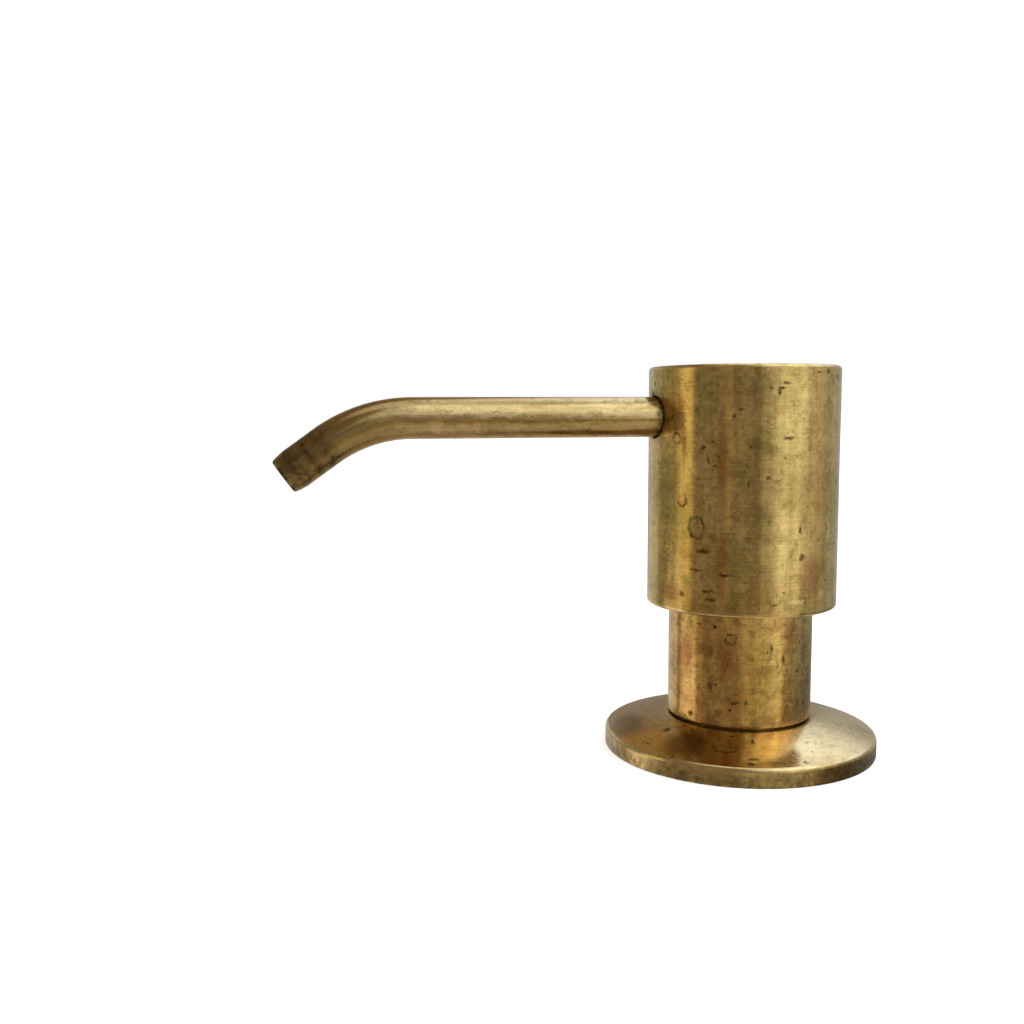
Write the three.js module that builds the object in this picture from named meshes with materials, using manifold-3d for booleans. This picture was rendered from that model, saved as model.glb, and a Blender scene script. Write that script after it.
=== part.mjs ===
// A deck-mounted soap pump dispenser in aged brass: a straight-sided press head with a bent
// spout slides over a fixed collar, and a lift-out pump draws soap from a bottle under the deck.
// Millimetres. +Z is up, the pump axis is Z, z = 0 is the top of the deck, the spout points to -X.
import * as THREE from 'three';
import { mergeVertices } from 'three/addons/utils/BufferGeometryUtils.js';
import Module from 'manifold-3d';

const wasm = await Module();
wasm.setup();

// ---- Driving dimensions -------------------------------------------------------------------
const SEAT_GAP = 0.3;            // left between two pieces that touch

const HEAD_R = 19;               // press head: 38 mm across, 48 mm tall
const HEAD_Z0 = 30;
const HEAD_Z1 = 78;
const HEAD_BORE_R = 15.5;
const HEAD_ROOF = 2;
const HEAD_EDGE_R = 0.8;

const SPOUT_R = 4;               // 8 mm tube with a 1.2 mm wall
const SPOUT_BORE_R = 2.8;
const SPOUT_Z = 68;
const SPOUT_STRAIGHT_END = 67.4; // where the bend starts, measured from the pump axis
const SPOUT_BEND_R = 28;
const SPOUT_BEND = THREE.MathUtils.degToRad(35.7);
const SPOUT_TIP = 9.6;           // straight length after the bend
const SPOUT_INNER_END = 5.9;
const SPOUT_HOLE_R = 4.7;        // clearance hole in the head's wall

const COLLAR_R = 14.5;           // fixed guide collar: 29 mm across
const COLLAR_BORE_R = 13;
const COLLAR_TOP = 42;

const FLANGE_R = 27.5;           // deck flange: 55 mm across
const FLANGE_RIM = 4;
const FLANGE_TOP = 7;
const FLANGE_SEAT_R = 15.2;      // where the domed top meets the collar's flat seat
const FLANGE_DOME_R = 59;        // the top is a shallow dome, 9 degrees steep at the seat
const FLANGE_SEAT_SLOPE = 9;     // and 20.7 degrees steep at the rim
const FLANGE_RIM_SLOPE = 20.7;
const GASKET_R0 = 16;            // groove for the deck gasket
const GASKET_R1 = 24;
const GASKET_DEPTH = 1.6;

const SHANK_R = 12.7;            // 1 inch mounting thread
const SHANK_BORE_R = 10.8;
const SHANK_TOP = 22;
const SHANK_BOTTOM = -64;
const THREAD_BORE_R = 13;        // every bore that goes over the shank

const DECK = 30;                 // deck thickness that the nut is shown clamping
const WASHER_R = 22;
const RUBBER_WASHER = 2.5;
const METAL_WASHER = 2;
const NUT_FLATS = 38;
const NUT_HEIGHT = 8;

const CYLINDER_R = 6.4;          // pump cylinder and the pieces that run in it
const CYLINDER_BORE_R = 5.2;
const CYLINDER_FLOOR = -24;
const PUMP_FLANGE_R = 12.6;
const PUMP_FLANGE_Z0 = 23.8;
const PUMP_FLANGE_Z1 = 26;
const PUMP_CAP_R = 9;
const PUMP_CAP_HEIGHT = 3.7;
const INLET_R = 1.5;
const DIP_SOCKET_TOP = -30;
const DIP_SOCKET_DEPTH = 10;
const DIP_TUBE_R = 3;
const DIP_TUBE_BORE_R = 2.2;
const DIP_TUBE_BOTTOM = -162;

const STEM_R = 3.8;
const STEM_BORE_R = 1.6;
const STEM_TENON_R = 2.8;
const STEM_SHOULDER = 14;
const STEM_TOP = 63.7;
const STEM_BOTTOM = 5;
const BALL_CHAMBER_R = 2.6;
const OUTLET_SEAT_Z = 56.4;
const OUTLET_BALL_R = 2.3;
const INLET_BALL_R = 2.4;
const BALL_CLEARANCE = 0.1;      // keeps each ball just off its seat
const PISTON_Z0 = 4.7;
const SPRING_R = 3.9;
const SPRING_WIRE_R = 0.4;
const SPRING_Z0 = -20;
const SPRING_TURNS = 7;

const BLOCK_HUB_R = 12;          // block inside the head that joins stem to spout
const BLOCK_FLANGE_R = 15.2;
const BLOCK_Z0 = 59;
const BLOCK_FLANGE_Z = 72.4;
const BLOCK_BORE_R = 4.1;
const BLOCK_BORE_TOP = 64;
const SPOUT_SOCKET_R = 4.2;
const SPOUT_SOCKET_END = 5.6;

const BOTTLE_R = 30;             // about 250 ml under the deck
const BOTTLE_WALL = 1.4;
const BOTTLE_NECK_R = 16;
const BOTTLE_NECK_TOP = -48;
const BOTTLE_SHOULDER = -84;
const BOTTLE_BOTTOM = -170;
const BOTTLE_FOOT_R = 5;         // rounding between side and base
const BOTTLE_BASE_RISE = 3;      // the base is pushed up so that the bottle stands on its rim

const FINE = 48;                 // sides on the large turned pieces
const COARSE = 24;               // sides on the small inner pieces
const BOTTLE_SIDES = 36;

// ---- Materials ------------------------------------------------------------------------------
function finish(color, roughness, metalness) {
  return new THREE.MeshStandardMaterial({ color, roughness, metalness });
}
const AGED_BRASS = finish(0x9b8150, 0.38, 1);
const BRIGHT_BRASS = finish(0xb9965a, 0.3, 1);
const STAINLESS = finish(0xb9bbbd, 0.25, 1);
const BLACK_RUBBER = finish(0x1d1d1e, 0.85, 0);
const WHITE_PLASTIC = finish(0xe9e8e2, 0.45, 0);
const CLEAR_PLASTIC = finish(0xdfe3df, 0.35, 0);
const NYLON = finish(0xd9d5c8, 0.5, 0);

const dispenser = new THREE.Group();

function place(name, geometry, material) {
  const mesh = new THREE.Mesh(geometry, material);
  mesh.name = name;
  dispenser.add(mesh);
  return mesh;
}

// ---- Shape helpers --------------------------------------------------------------------------
// Turns an outline of [radius, height] points about Z. The outline runs with the metal on its
// left, and it either starts and ends on the axis or is closed here into a ring.
function turned(outline, sides) {
  const points = outline.map(([r, z]) => new THREE.Vector2(r, z));
  const onAxis = outline[0][0] === 0;
  if (!onAxis) points.push(points[0].clone());
  const geometry = new THREE.LatheGeometry(points, sides);
  geometry.rotateX(Math.PI / 2);
  return geometry;
}

function ring(innerR, outerR, z0, z1, sides) {
  return turned([[innerR, z0], [outerR, z0], [outerR, z1], [innerR, z1]], sides);
}

// Points of a quarter round in an outline, about the centre [r, z], in degrees.
function round(r, z, radius, from, to, steps = 3) {
  const arc = [];
  for (let i = 0; i <= steps; i += 1) {
    const angle = THREE.MathUtils.degToRad(from + ((to - from) * i) / steps);
    arc.push([r + radius * Math.cos(angle), z + radius * Math.sin(angle)]);
  }
  return arc;
}

function rodAlongX(radius, x0, x1, z, sides) {
  const rod = new THREE.CylinderGeometry(radius, radius, x1 - x0, sides);
  rod.rotateZ(Math.PI / 2);
  rod.translate((x0 + x1) / 2, 0, z);
  return rod;
}

function toSolid(geometry) {
  const bare = geometry.clone();
  bare.deleteAttribute('normal');
  bare.deleteAttribute('uv');
  const merged = mergeVertices(bare, 1e-4);
  return new wasm.Manifold(new wasm.Mesh({
    numProp: 3,
    vertProperties: new Float32Array(merged.attributes.position.array),
    triVerts: new Uint32Array(merged.index.array),
  }));
}

function cut(geometry, ...cutters) {
  let solid = toSolid(geometry);
  for (const cutter of cutters) solid = solid.subtract(toSolid(cutter));
  const mesh = solid.getMesh();
  const result = new THREE.BufferGeometry();
  result.setAttribute('position', new THREE.BufferAttribute(mesh.vertProperties, 3));
  result.setIndex(new THREE.BufferAttribute(mesh.triVerts, 1));
  result.computeVertexNormals();
  return result;
}

// ---- Fixed body: everything clamped to the deck ---------------------------------------------
function flange() {
  const seatSlope = THREE.MathUtils.degToRad(FLANGE_SEAT_SLOPE);
  const domeR = FLANGE_SEAT_R - FLANGE_DOME_R * Math.sin(seatSlope);
  const domeZ = FLANGE_TOP - FLANGE_DOME_R * Math.cos(seatSlope);
  const [rimAngle, seatAngle] = [90 - FLANGE_RIM_SLOPE, 90 - FLANGE_SEAT_SLOPE];
  return turned([
    [THREAD_BORE_R, 0],
    [GASKET_R0, 0],
    [GASKET_R0, GASKET_DEPTH],
    [GASKET_R1, GASKET_DEPTH],
    [GASKET_R1, 0],
    ...round(FLANGE_R - 0.4, 0.4, 0.4, -90, 0, 2),
    ...round(FLANGE_R - 1, FLANGE_RIM - 1, 1, 0, rimAngle - 4),
    ...round(domeR, domeZ, FLANGE_DOME_R, rimAngle, seatAngle, 4),
    [THREAD_BORE_R, FLANGE_TOP],
  ], FINE);
}

function collar() {
  const z0 = FLANGE_TOP + SEAT_GAP;
  return turned([
    [COLLAR_BORE_R, z0],
    [COLLAR_R - 0.3, z0],
    [COLLAR_R, z0 + 0.3],
    ...round(COLLAR_R - 0.5, COLLAR_TOP - 0.5, 0.5, 0, 90, 2),
    [COLLAR_BORE_R + 0.4, COLLAR_TOP],
    [COLLAR_BORE_R, COLLAR_TOP - 0.4],
  ], FINE);
}

function hexNut(z1) {
  const corner = NUT_FLATS / 2 / Math.cos(Math.PI / 6);
  const body = new THREE.CylinderGeometry(corner, corner, NUT_HEIGHT, 6);
  body.rotateX(Math.PI / 2);
  body.translate(0, 0, z1 - NUT_HEIGHT / 2);
  const bore = new THREE.CylinderGeometry(THREAD_BORE_R, THREAD_BORE_R, NUT_HEIGHT + 2, FINE);
  bore.rotateX(Math.PI / 2);
  bore.translate(0, 0, z1 - NUT_HEIGHT / 2);
  return cut(body, bore);
}

// The bottle screws up over the shank's lower end and seals on a ledge inside its neck.
function bottle(ledge) {
  const innerR = BOTTLE_R - BOTTLE_WALL;
  const footCentre = BOTTLE_BOTTOM + BOTTLE_FOOT_R;
  return turned([
    [0, BOTTLE_BOTTOM + BOTTLE_BASE_RISE],
    [BOTTLE_R - 10, BOTTLE_BOTTOM + BOTTLE_BASE_RISE],
    [BOTTLE_R - 7, BOTTLE_BOTTOM],
    ...round(BOTTLE_R - BOTTLE_FOOT_R, footCentre, BOTTLE_FOOT_R, -90, 0, 2),
    ...round(BOTTLE_R - 12, BOTTLE_SHOULDER, 12, 0, 60, 2),
    [BOTTLE_NECK_R, ledge + 1],
    [BOTTLE_NECK_R, BOTTLE_NECK_TOP],
    [THREAD_BORE_R, BOTTLE_NECK_TOP],
    [THREAD_BORE_R, ledge],
    [SHANK_BORE_R, ledge],
    [SHANK_BORE_R, ledge - 3],
    ...round(innerR - 11, BOTTLE_SHOULDER, 11, 60, 0, 2),
    ...round(innerR - BOTTLE_FOOT_R, footCentre, BOTTLE_FOOT_R, 0, -60, 2),
    [BOTTLE_R - 10, BOTTLE_BOTTOM + BOTTLE_BASE_RISE + BOTTLE_WALL],
    [0, BOTTLE_BOTTOM + BOTTLE_BASE_RISE + BOTTLE_WALL],
  ], BOTTLE_SIDES);
}

function addFixedBody() {
  place('flange', flange(), AGED_BRASS);
  place('deck_gasket', ring(GASKET_R0 + SEAT_GAP, GASKET_R1 - SEAT_GAP, 0,
    GASKET_DEPTH - SEAT_GAP, FINE), BLACK_RUBBER);
  place('collar', collar(), AGED_BRASS);
  place('shank', ring(SHANK_BORE_R, SHANK_R, SHANK_BOTTOM, SHANK_TOP, FINE), BRIGHT_BRASS);

  const rubberTop = -DECK;
  const metalTop = rubberTop - RUBBER_WASHER - SEAT_GAP;
  const nutTop = metalTop - METAL_WASHER - SEAT_GAP;
  place('rubber_washer', ring(THREAD_BORE_R, WASHER_R, rubberTop - RUBBER_WASHER, rubberTop, FINE),
    BLACK_RUBBER);
  place('metal_washer', ring(THREAD_BORE_R, WASHER_R, metalTop - METAL_WASHER, metalTop, FINE),
    STAINLESS);
  place('lock_nut', hexNut(nutTop), BRIGHT_BRASS);

  const sealTop = SHANK_BOTTOM - SEAT_GAP;
  const sealHeight = 1.6;
  place('bottle_seal', ring(SHANK_BORE_R + 0.2, SHANK_R, sealTop - sealHeight, sealTop, COARSE),
    BLACK_RUBBER);
  place('bottle', bottle(sealTop - sealHeight - SEAT_GAP), CLEAR_PLASTIC);
}

// ---- Pump cartridge: lifts out of the collar for refilling ----------------------------------
function pumpCylinder() {
  const coneBottom = CYLINDER_FLOOR - (CYLINDER_BORE_R - INLET_R);
  const socketR = DIP_TUBE_R + 0.2;
  const socketBottom = DIP_SOCKET_TOP - DIP_SOCKET_DEPTH;
  const socketOuterR = DIP_TUBE_R + 1.6;
  return turned([
    [CYLINDER_BORE_R, PUMP_FLANGE_Z1],
    [CYLINDER_BORE_R, CYLINDER_FLOOR],
    [INLET_R, coneBottom],
    [INLET_R, DIP_SOCKET_TOP],
    [socketR, DIP_SOCKET_TOP],
    [socketR, socketBottom],
    [socketOuterR, socketBottom],
    [socketOuterR, DIP_SOCKET_TOP],
    [CYLINDER_R, CYLINDER_FLOOR - 2],
    [CYLINDER_R, PUMP_FLANGE_Z0],
    [PUMP_FLANGE_R, PUMP_FLANGE_Z0],
    [PUMP_FLANGE_R, PUMP_FLANGE_Z1],
  ], COARSE);
}

// Snaps over the cylinder's top, guides the stem and stops the piston at the top of its stroke.
function pumpCap() {
  const flangeZ0 = PUMP_FLANGE_Z1 + SEAT_GAP;
  const flangeZ1 = flangeZ0 + PUMP_CAP_HEIGHT;
  const guideR = STEM_R + 0.2;
  return turned([
    [guideR, STEM_SHOULDER],
    [CYLINDER_BORE_R - 0.2, STEM_SHOULDER],
    [CYLINDER_BORE_R - 0.2, flangeZ0],
    [PUMP_CAP_R, flangeZ0],
    [PUMP_CAP_R, flangeZ1 - 1],
    [PUMP_CAP_R - 1, flangeZ1],
    [guideR, flangeZ1],
  ], COARSE);
}

class Helix extends THREE.Curve {
  constructor(radius, z0, z1, turns) {
    super();
    this.radius = radius;
    this.z0 = z0;
    this.z1 = z1;
    this.turns = turns;
  }

  getPoint(t) {
    const angle = 2 * Math.PI * this.turns * t;
    return new THREE.Vector3(this.radius * Math.cos(angle), this.radius * Math.sin(angle),
      this.z0 + (this.z1 - this.z0) * t);
  }
}

function returnSpring() {
  const wire = new THREE.Shape();
  wire.absarc(0, 0, SPRING_WIRE_R, 0, 2 * Math.PI);
  const z0 = SPRING_Z0 + SPRING_WIRE_R;
  const z1 = PISTON_Z0 - SEAT_GAP - SPRING_WIRE_R;
  return new THREE.ExtrudeGeometry(wire, {
    curveSegments: 3,
    steps: SPRING_TURNS * 14,
    bevelEnabled: false,
    extrudePath: new Helix(SPRING_R, z0, z1, SPRING_TURNS),
  });
}

function ball(radius, z) {
  const sphere = new THREE.SphereGeometry(radius, 16, 10);
  sphere.rotateX(Math.PI / 2);
  sphere.translate(0, 0, z);
  return sphere;
}

// A ball of this radius rests this high above the point of a 45 degree cone.
function ballAboveCone(radius) {
  return radius * Math.SQRT2 + BALL_CLEARANCE;
}

function addCartridge() {
  place('pump_gasket', ring(SHANK_BORE_R + 0.2, PUMP_FLANGE_R, SHANK_TOP + SEAT_GAP,
    PUMP_FLANGE_Z0 - SEAT_GAP, COARSE), BLACK_RUBBER);
  place('pump_cylinder', pumpCylinder(), WHITE_PLASTIC);
  place('pump_cap', pumpCap(), WHITE_PLASTIC);
  place('spring_seat', ring(1.9, CYLINDER_BORE_R - 0.2, SPRING_Z0 - 1.6, SPRING_Z0 - SEAT_GAP,
    COARSE), WHITE_PLASTIC);
  place('return_spring', returnSpring(), STAINLESS);
  place('dip_tube', ring(DIP_TUBE_BORE_R, DIP_TUBE_R, DIP_TUBE_BOTTOM,
    DIP_SOCKET_TOP - SEAT_GAP, COARSE), CLEAR_PLASTIC);
  const inletCone = CYLINDER_FLOOR - CYLINDER_BORE_R;
  place('inlet_ball', ball(INLET_BALL_R, inletCone + ballAboveCone(INLET_BALL_R)), STAINLESS);
}

// ---- Plunger: slides in the cartridge -------------------------------------------------------
function stem() {
  const seatTop = OUTLET_SEAT_Z + BALL_CHAMBER_R - STEM_BORE_R;
  return turned([
    [STEM_BORE_R, STEM_BOTTOM],
    [STEM_TENON_R, STEM_BOTTOM],
    [STEM_TENON_R, STEM_SHOULDER],
    [STEM_R, STEM_SHOULDER],
    [STEM_R, STEM_TOP],
    [BALL_CHAMBER_R, STEM_TOP],
    [BALL_CHAMBER_R, seatTop],
    [STEM_BORE_R, OUTLET_SEAT_Z],
  ], COARSE);
}

function piston() {
  const boreR = STEM_TENON_R + 0.2;
  const outerR = CYLINDER_BORE_R - 0.5;
  const grooveR = 3.8;
  const top = STEM_SHOULDER - SEAT_GAP;
  return turned([
    [boreR, PISTON_Z0],
    [outerR, PISTON_Z0],
    [outerR, PISTON_Z0 + 2.8],
    [grooveR, PISTON_Z0 + 2.8],
    [grooveR, top - 3.2],
    [outerR, top - 3.2],
    [outerR, top],
    [boreR, top],
  ], COARSE);
}

function addPlunger() {
  place('stem', stem(), WHITE_PLASTIC);
  place('piston', piston(), WHITE_PLASTIC);
  place('piston_seal', ring(4, CYLINDER_BORE_R - 0.1, PISTON_Z0 + 3.1, PISTON_Z0 + 5.5, COARSE),
    BLACK_RUBBER);
  const outletCone = OUTLET_SEAT_Z - STEM_BORE_R;
  place('outlet_ball', ball(OUTLET_BALL_R, outletCone + ballAboveCone(OUTLET_BALL_R)), STAINLESS);
}

// ---- Head: turns freely on the stem ---------------------------------------------------------
function headShell() {
  const shell = turned([
    [0, HEAD_Z1 - HEAD_ROOF],
    [HEAD_BORE_R, HEAD_Z1 - HEAD_ROOF],
    [HEAD_BORE_R, HEAD_Z0 + 0.4],
    [HEAD_BORE_R + 0.4, HEAD_Z0],
    ...round(HEAD_R - 0.6, HEAD_Z0 + 0.6, 0.6, -90, 0, 2),
    ...round(HEAD_R - HEAD_EDGE_R, HEAD_Z1 - HEAD_EDGE_R, HEAD_EDGE_R, 0, 90),
    [0, HEAD_Z1],
  ], FINE);
  return cut(shell, rodAlongX(SPOUT_HOLE_R, -HEAD_R - 2, -HEAD_BORE_R + 2, SPOUT_Z, COARSE));
}

// The spout's centre line: straight out along -X, then one bend down and a short straight tip.
class SpoutLine extends THREE.Curve {
  getPoint(t) {
    const bendLength = SPOUT_BEND_R * SPOUT_BEND;
    const straight = SPOUT_STRAIGHT_END - SPOUT_INNER_END;
    const along = t * (straight + bendLength + SPOUT_TIP);
    if (along < straight) return new THREE.Vector3(-SPOUT_INNER_END - along, 0, SPOUT_Z);
    const angle = Math.min((along - straight) / SPOUT_BEND_R, SPOUT_BEND);
    const tip = Math.max(along - straight - bendLength, 0);
    return new THREE.Vector3(
      -SPOUT_STRAIGHT_END - SPOUT_BEND_R * Math.sin(angle) - tip * Math.cos(angle),
      0,
      SPOUT_Z - SPOUT_BEND_R * (1 - Math.cos(angle)) - tip * Math.sin(angle),
    );
  }
}

function spout() {
  const section = new THREE.Shape();
  section.absarc(0, 0, SPOUT_R, 0, 2 * Math.PI);
  const bore = new THREE.Path();
  bore.absarc(0, 0, SPOUT_BORE_R, 0, 2 * Math.PI, true);
  section.holes.push(bore);
  return new THREE.ExtrudeGeometry(section, {
    curveSegments: 8,
    steps: 30,
    bevelEnabled: false,
    extrudePath: new SpoutLine(),
  });
}

function outletBlock() {
  const passageR = 2;
  const passageTop = SPOUT_Z + passageR;
  const block = turned([
    [BLOCK_BORE_R, BLOCK_Z0],
    [BLOCK_HUB_R, BLOCK_Z0],
    [BLOCK_HUB_R, BLOCK_FLANGE_Z],
    [BLOCK_FLANGE_R, BLOCK_FLANGE_Z],
    [BLOCK_FLANGE_R, HEAD_Z1 - HEAD_ROOF - SEAT_GAP],
    [0, HEAD_Z1 - HEAD_ROOF - SEAT_GAP],
    [0, passageTop],
    [passageR, passageTop],
    [passageR, BLOCK_BORE_TOP],
    [BLOCK_BORE_R, BLOCK_BORE_TOP],
    [BLOCK_BORE_R, BLOCK_Z0 + 3],
    [BLOCK_BORE_R + 0.9, BLOCK_Z0 + 3],
    [BLOCK_BORE_R + 0.9, BLOCK_Z0 + 1.6],
    [BLOCK_BORE_R, BLOCK_Z0 + 1.6],
  ], COARSE);
  const socket = rodAlongX(SPOUT_SOCKET_R, -BLOCK_HUB_R - 4, -SPOUT_SOCKET_END, SPOUT_Z, COARSE);
  const groove = rodAlongX(SPOUT_SOCKET_R + 1, -10, -8.2, SPOUT_Z, COARSE);
  const passage = rodAlongX(passageR, -SPOUT_SOCKET_END - 1, 0, SPOUT_Z, COARSE);
  return cut(block, socket, groove, passage);
}

function addHead() {
  place('head_shell', headShell(), AGED_BRASS);
  place('spout', spout(), AGED_BRASS);
  place('outlet_block', outletBlock(), NYLON);

  const stemRing = new THREE.TorusGeometry(STEM_R + 0.6, 0.5, 8, COARSE);
  stemRing.translate(0, 0, BLOCK_Z0 + 2.3);
  place('stem_o_ring', stemRing, BLACK_RUBBER);

  const spoutRing = new THREE.TorusGeometry(SPOUT_R + 0.6, 0.5, 8, COARSE);
  spoutRing.rotateY(Math.PI / 2);
  spoutRing.translate(-9.1, 0, SPOUT_Z);
  place('spout_o_ring', spoutRing, BLACK_RUBBER);

  place('guide_sleeve', ring(COLLAR_R + 0.1, HEAD_BORE_R - 0.2, HEAD_Z0 + 0.6, COLLAR_TOP - 1.5,
    FINE), NYLON);
}

addFixedBody();
addCartridge();
addPlunger();
addHead();

export default dispenser;
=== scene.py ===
import math
import random

import bmesh
import bpy
from mathutils import Matrix, Vector


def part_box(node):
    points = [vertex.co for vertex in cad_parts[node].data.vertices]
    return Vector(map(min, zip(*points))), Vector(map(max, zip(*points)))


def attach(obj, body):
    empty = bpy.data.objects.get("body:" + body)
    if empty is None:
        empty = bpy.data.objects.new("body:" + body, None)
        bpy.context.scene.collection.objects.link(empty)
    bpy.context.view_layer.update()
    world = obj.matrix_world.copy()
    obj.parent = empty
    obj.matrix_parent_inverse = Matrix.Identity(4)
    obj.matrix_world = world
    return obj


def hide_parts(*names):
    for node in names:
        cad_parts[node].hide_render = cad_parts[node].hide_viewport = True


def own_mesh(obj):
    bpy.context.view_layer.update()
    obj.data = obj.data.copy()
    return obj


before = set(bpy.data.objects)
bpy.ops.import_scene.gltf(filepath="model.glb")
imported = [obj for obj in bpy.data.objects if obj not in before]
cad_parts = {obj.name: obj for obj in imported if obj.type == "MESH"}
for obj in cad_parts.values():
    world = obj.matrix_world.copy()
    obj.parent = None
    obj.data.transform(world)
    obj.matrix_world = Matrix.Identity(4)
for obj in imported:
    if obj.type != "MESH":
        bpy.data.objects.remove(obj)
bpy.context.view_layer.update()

MM = 0.001

HEAD_R = 19.0
HEAD_BORE_R = 15.5
HEAD_BOTTOM = 30.0
HEAD_TOP = 78.0
HEAD_ROOF = 76.0

SPOUT_Z = 68.0
SPOUT_R = 4.0
SPOUT_BORE_R = 2.8
SPOUT_START = 5.9
SPOUT_BEND_START = 67.4
SPOUT_BEND_R = 28.0
SPOUT_BEND = math.radians(35.7)
SPOUT_TIP = 9.6
SPOUT_HOLE_R = 4.18   # drawn closer round the tube than the CAD model's hole

COLLAR_R = 14.5
COLLAR_BORE_R = 13.0
COLLAR_BOTTOM = 7.3
COLLAR_TOP = 42.0
FLANGE_R = 27.5
FLANGE_MIDDLE_R = 20.0
FLANGE_TOP = 7.0
FLANGE_SEAT_R = 15.2    # where the domed top meets the collar's flat seat
FLANGE_SEAT_SLOPE = 9   # how steep the dome is there, in degrees
FLANGE_DOME_R = 59.0
GASKET_GROOVE = (16.0, 24.0, 1.6)   # inner and outer radius, and depth
THREAD_BORE_R = 13.0    # every bore that goes over the shank
SHANK_R = 12.7
SHANK_BOTTOM = -64.0
THREAD_PITCH = 1.8
THREAD_TURNS = 34
NUT_FLATS = 38.0
SPRING_WIRE_R = 0.4
SPRING_TURNS = 9


# ---- Node and colour helpers ----------------------------------------------------------------
def colour(code):
    """An sRGB hex colour as the linear colour that Blender works in."""
    parts = [((code >> shift) & 255) / 255 for shift in (16, 8, 0)]
    linear = [c / 12.92 if c <= 0.04045 else ((c + 0.055) / 1.055) ** 2.4 for c in parts]
    return (*linear, 1.0)


def add(tree, kind, inputs=(), stops=(), **settings):
    """Adds a node. Inputs are values, sockets or nodes, by order of the shown sockets or by name.

    A node given as an input stands for its first shown output."""
    node = tree.nodes.new(kind)
    for key, value in settings.items():
        setattr(node, key, value)
    shown = [socket for socket in node.inputs if socket.enabled]
    pairs = inputs.items() if isinstance(inputs, dict) else enumerate(inputs)
    for key, value in pairs:
        socket = shown[key] if isinstance(key, int) else next(s for s in shown if s.name == key)
        if isinstance(value, bpy.types.Node):
            value = next(out for out in value.outputs if out.enabled)
        if isinstance(value, bpy.types.NodeSocket):
            tree.links.new(value, socket)
        elif value is not None:
            socket.default_value = value
    if stops:
        elements = node.color_ramp.elements
        while len(elements) > 1:
            elements.remove(elements[0])
        elements[0].position, elements[0].color = stops[0]
        for position, shade in stops[1:]:
            elements.new(position).color = shade
    return node


def new_material(name):
    """A material with an empty tree and a Principled shader on its output."""
    material = bpy.data.materials.new(name)
    material.use_nodes = True
    tree = material.node_tree
    tree.nodes.clear()
    shader = add(tree, "ShaderNodeBsdfPrincipled")
    add(tree, "ShaderNodeOutputMaterial", {"Surface": shader})
    return material, tree, shader


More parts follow.
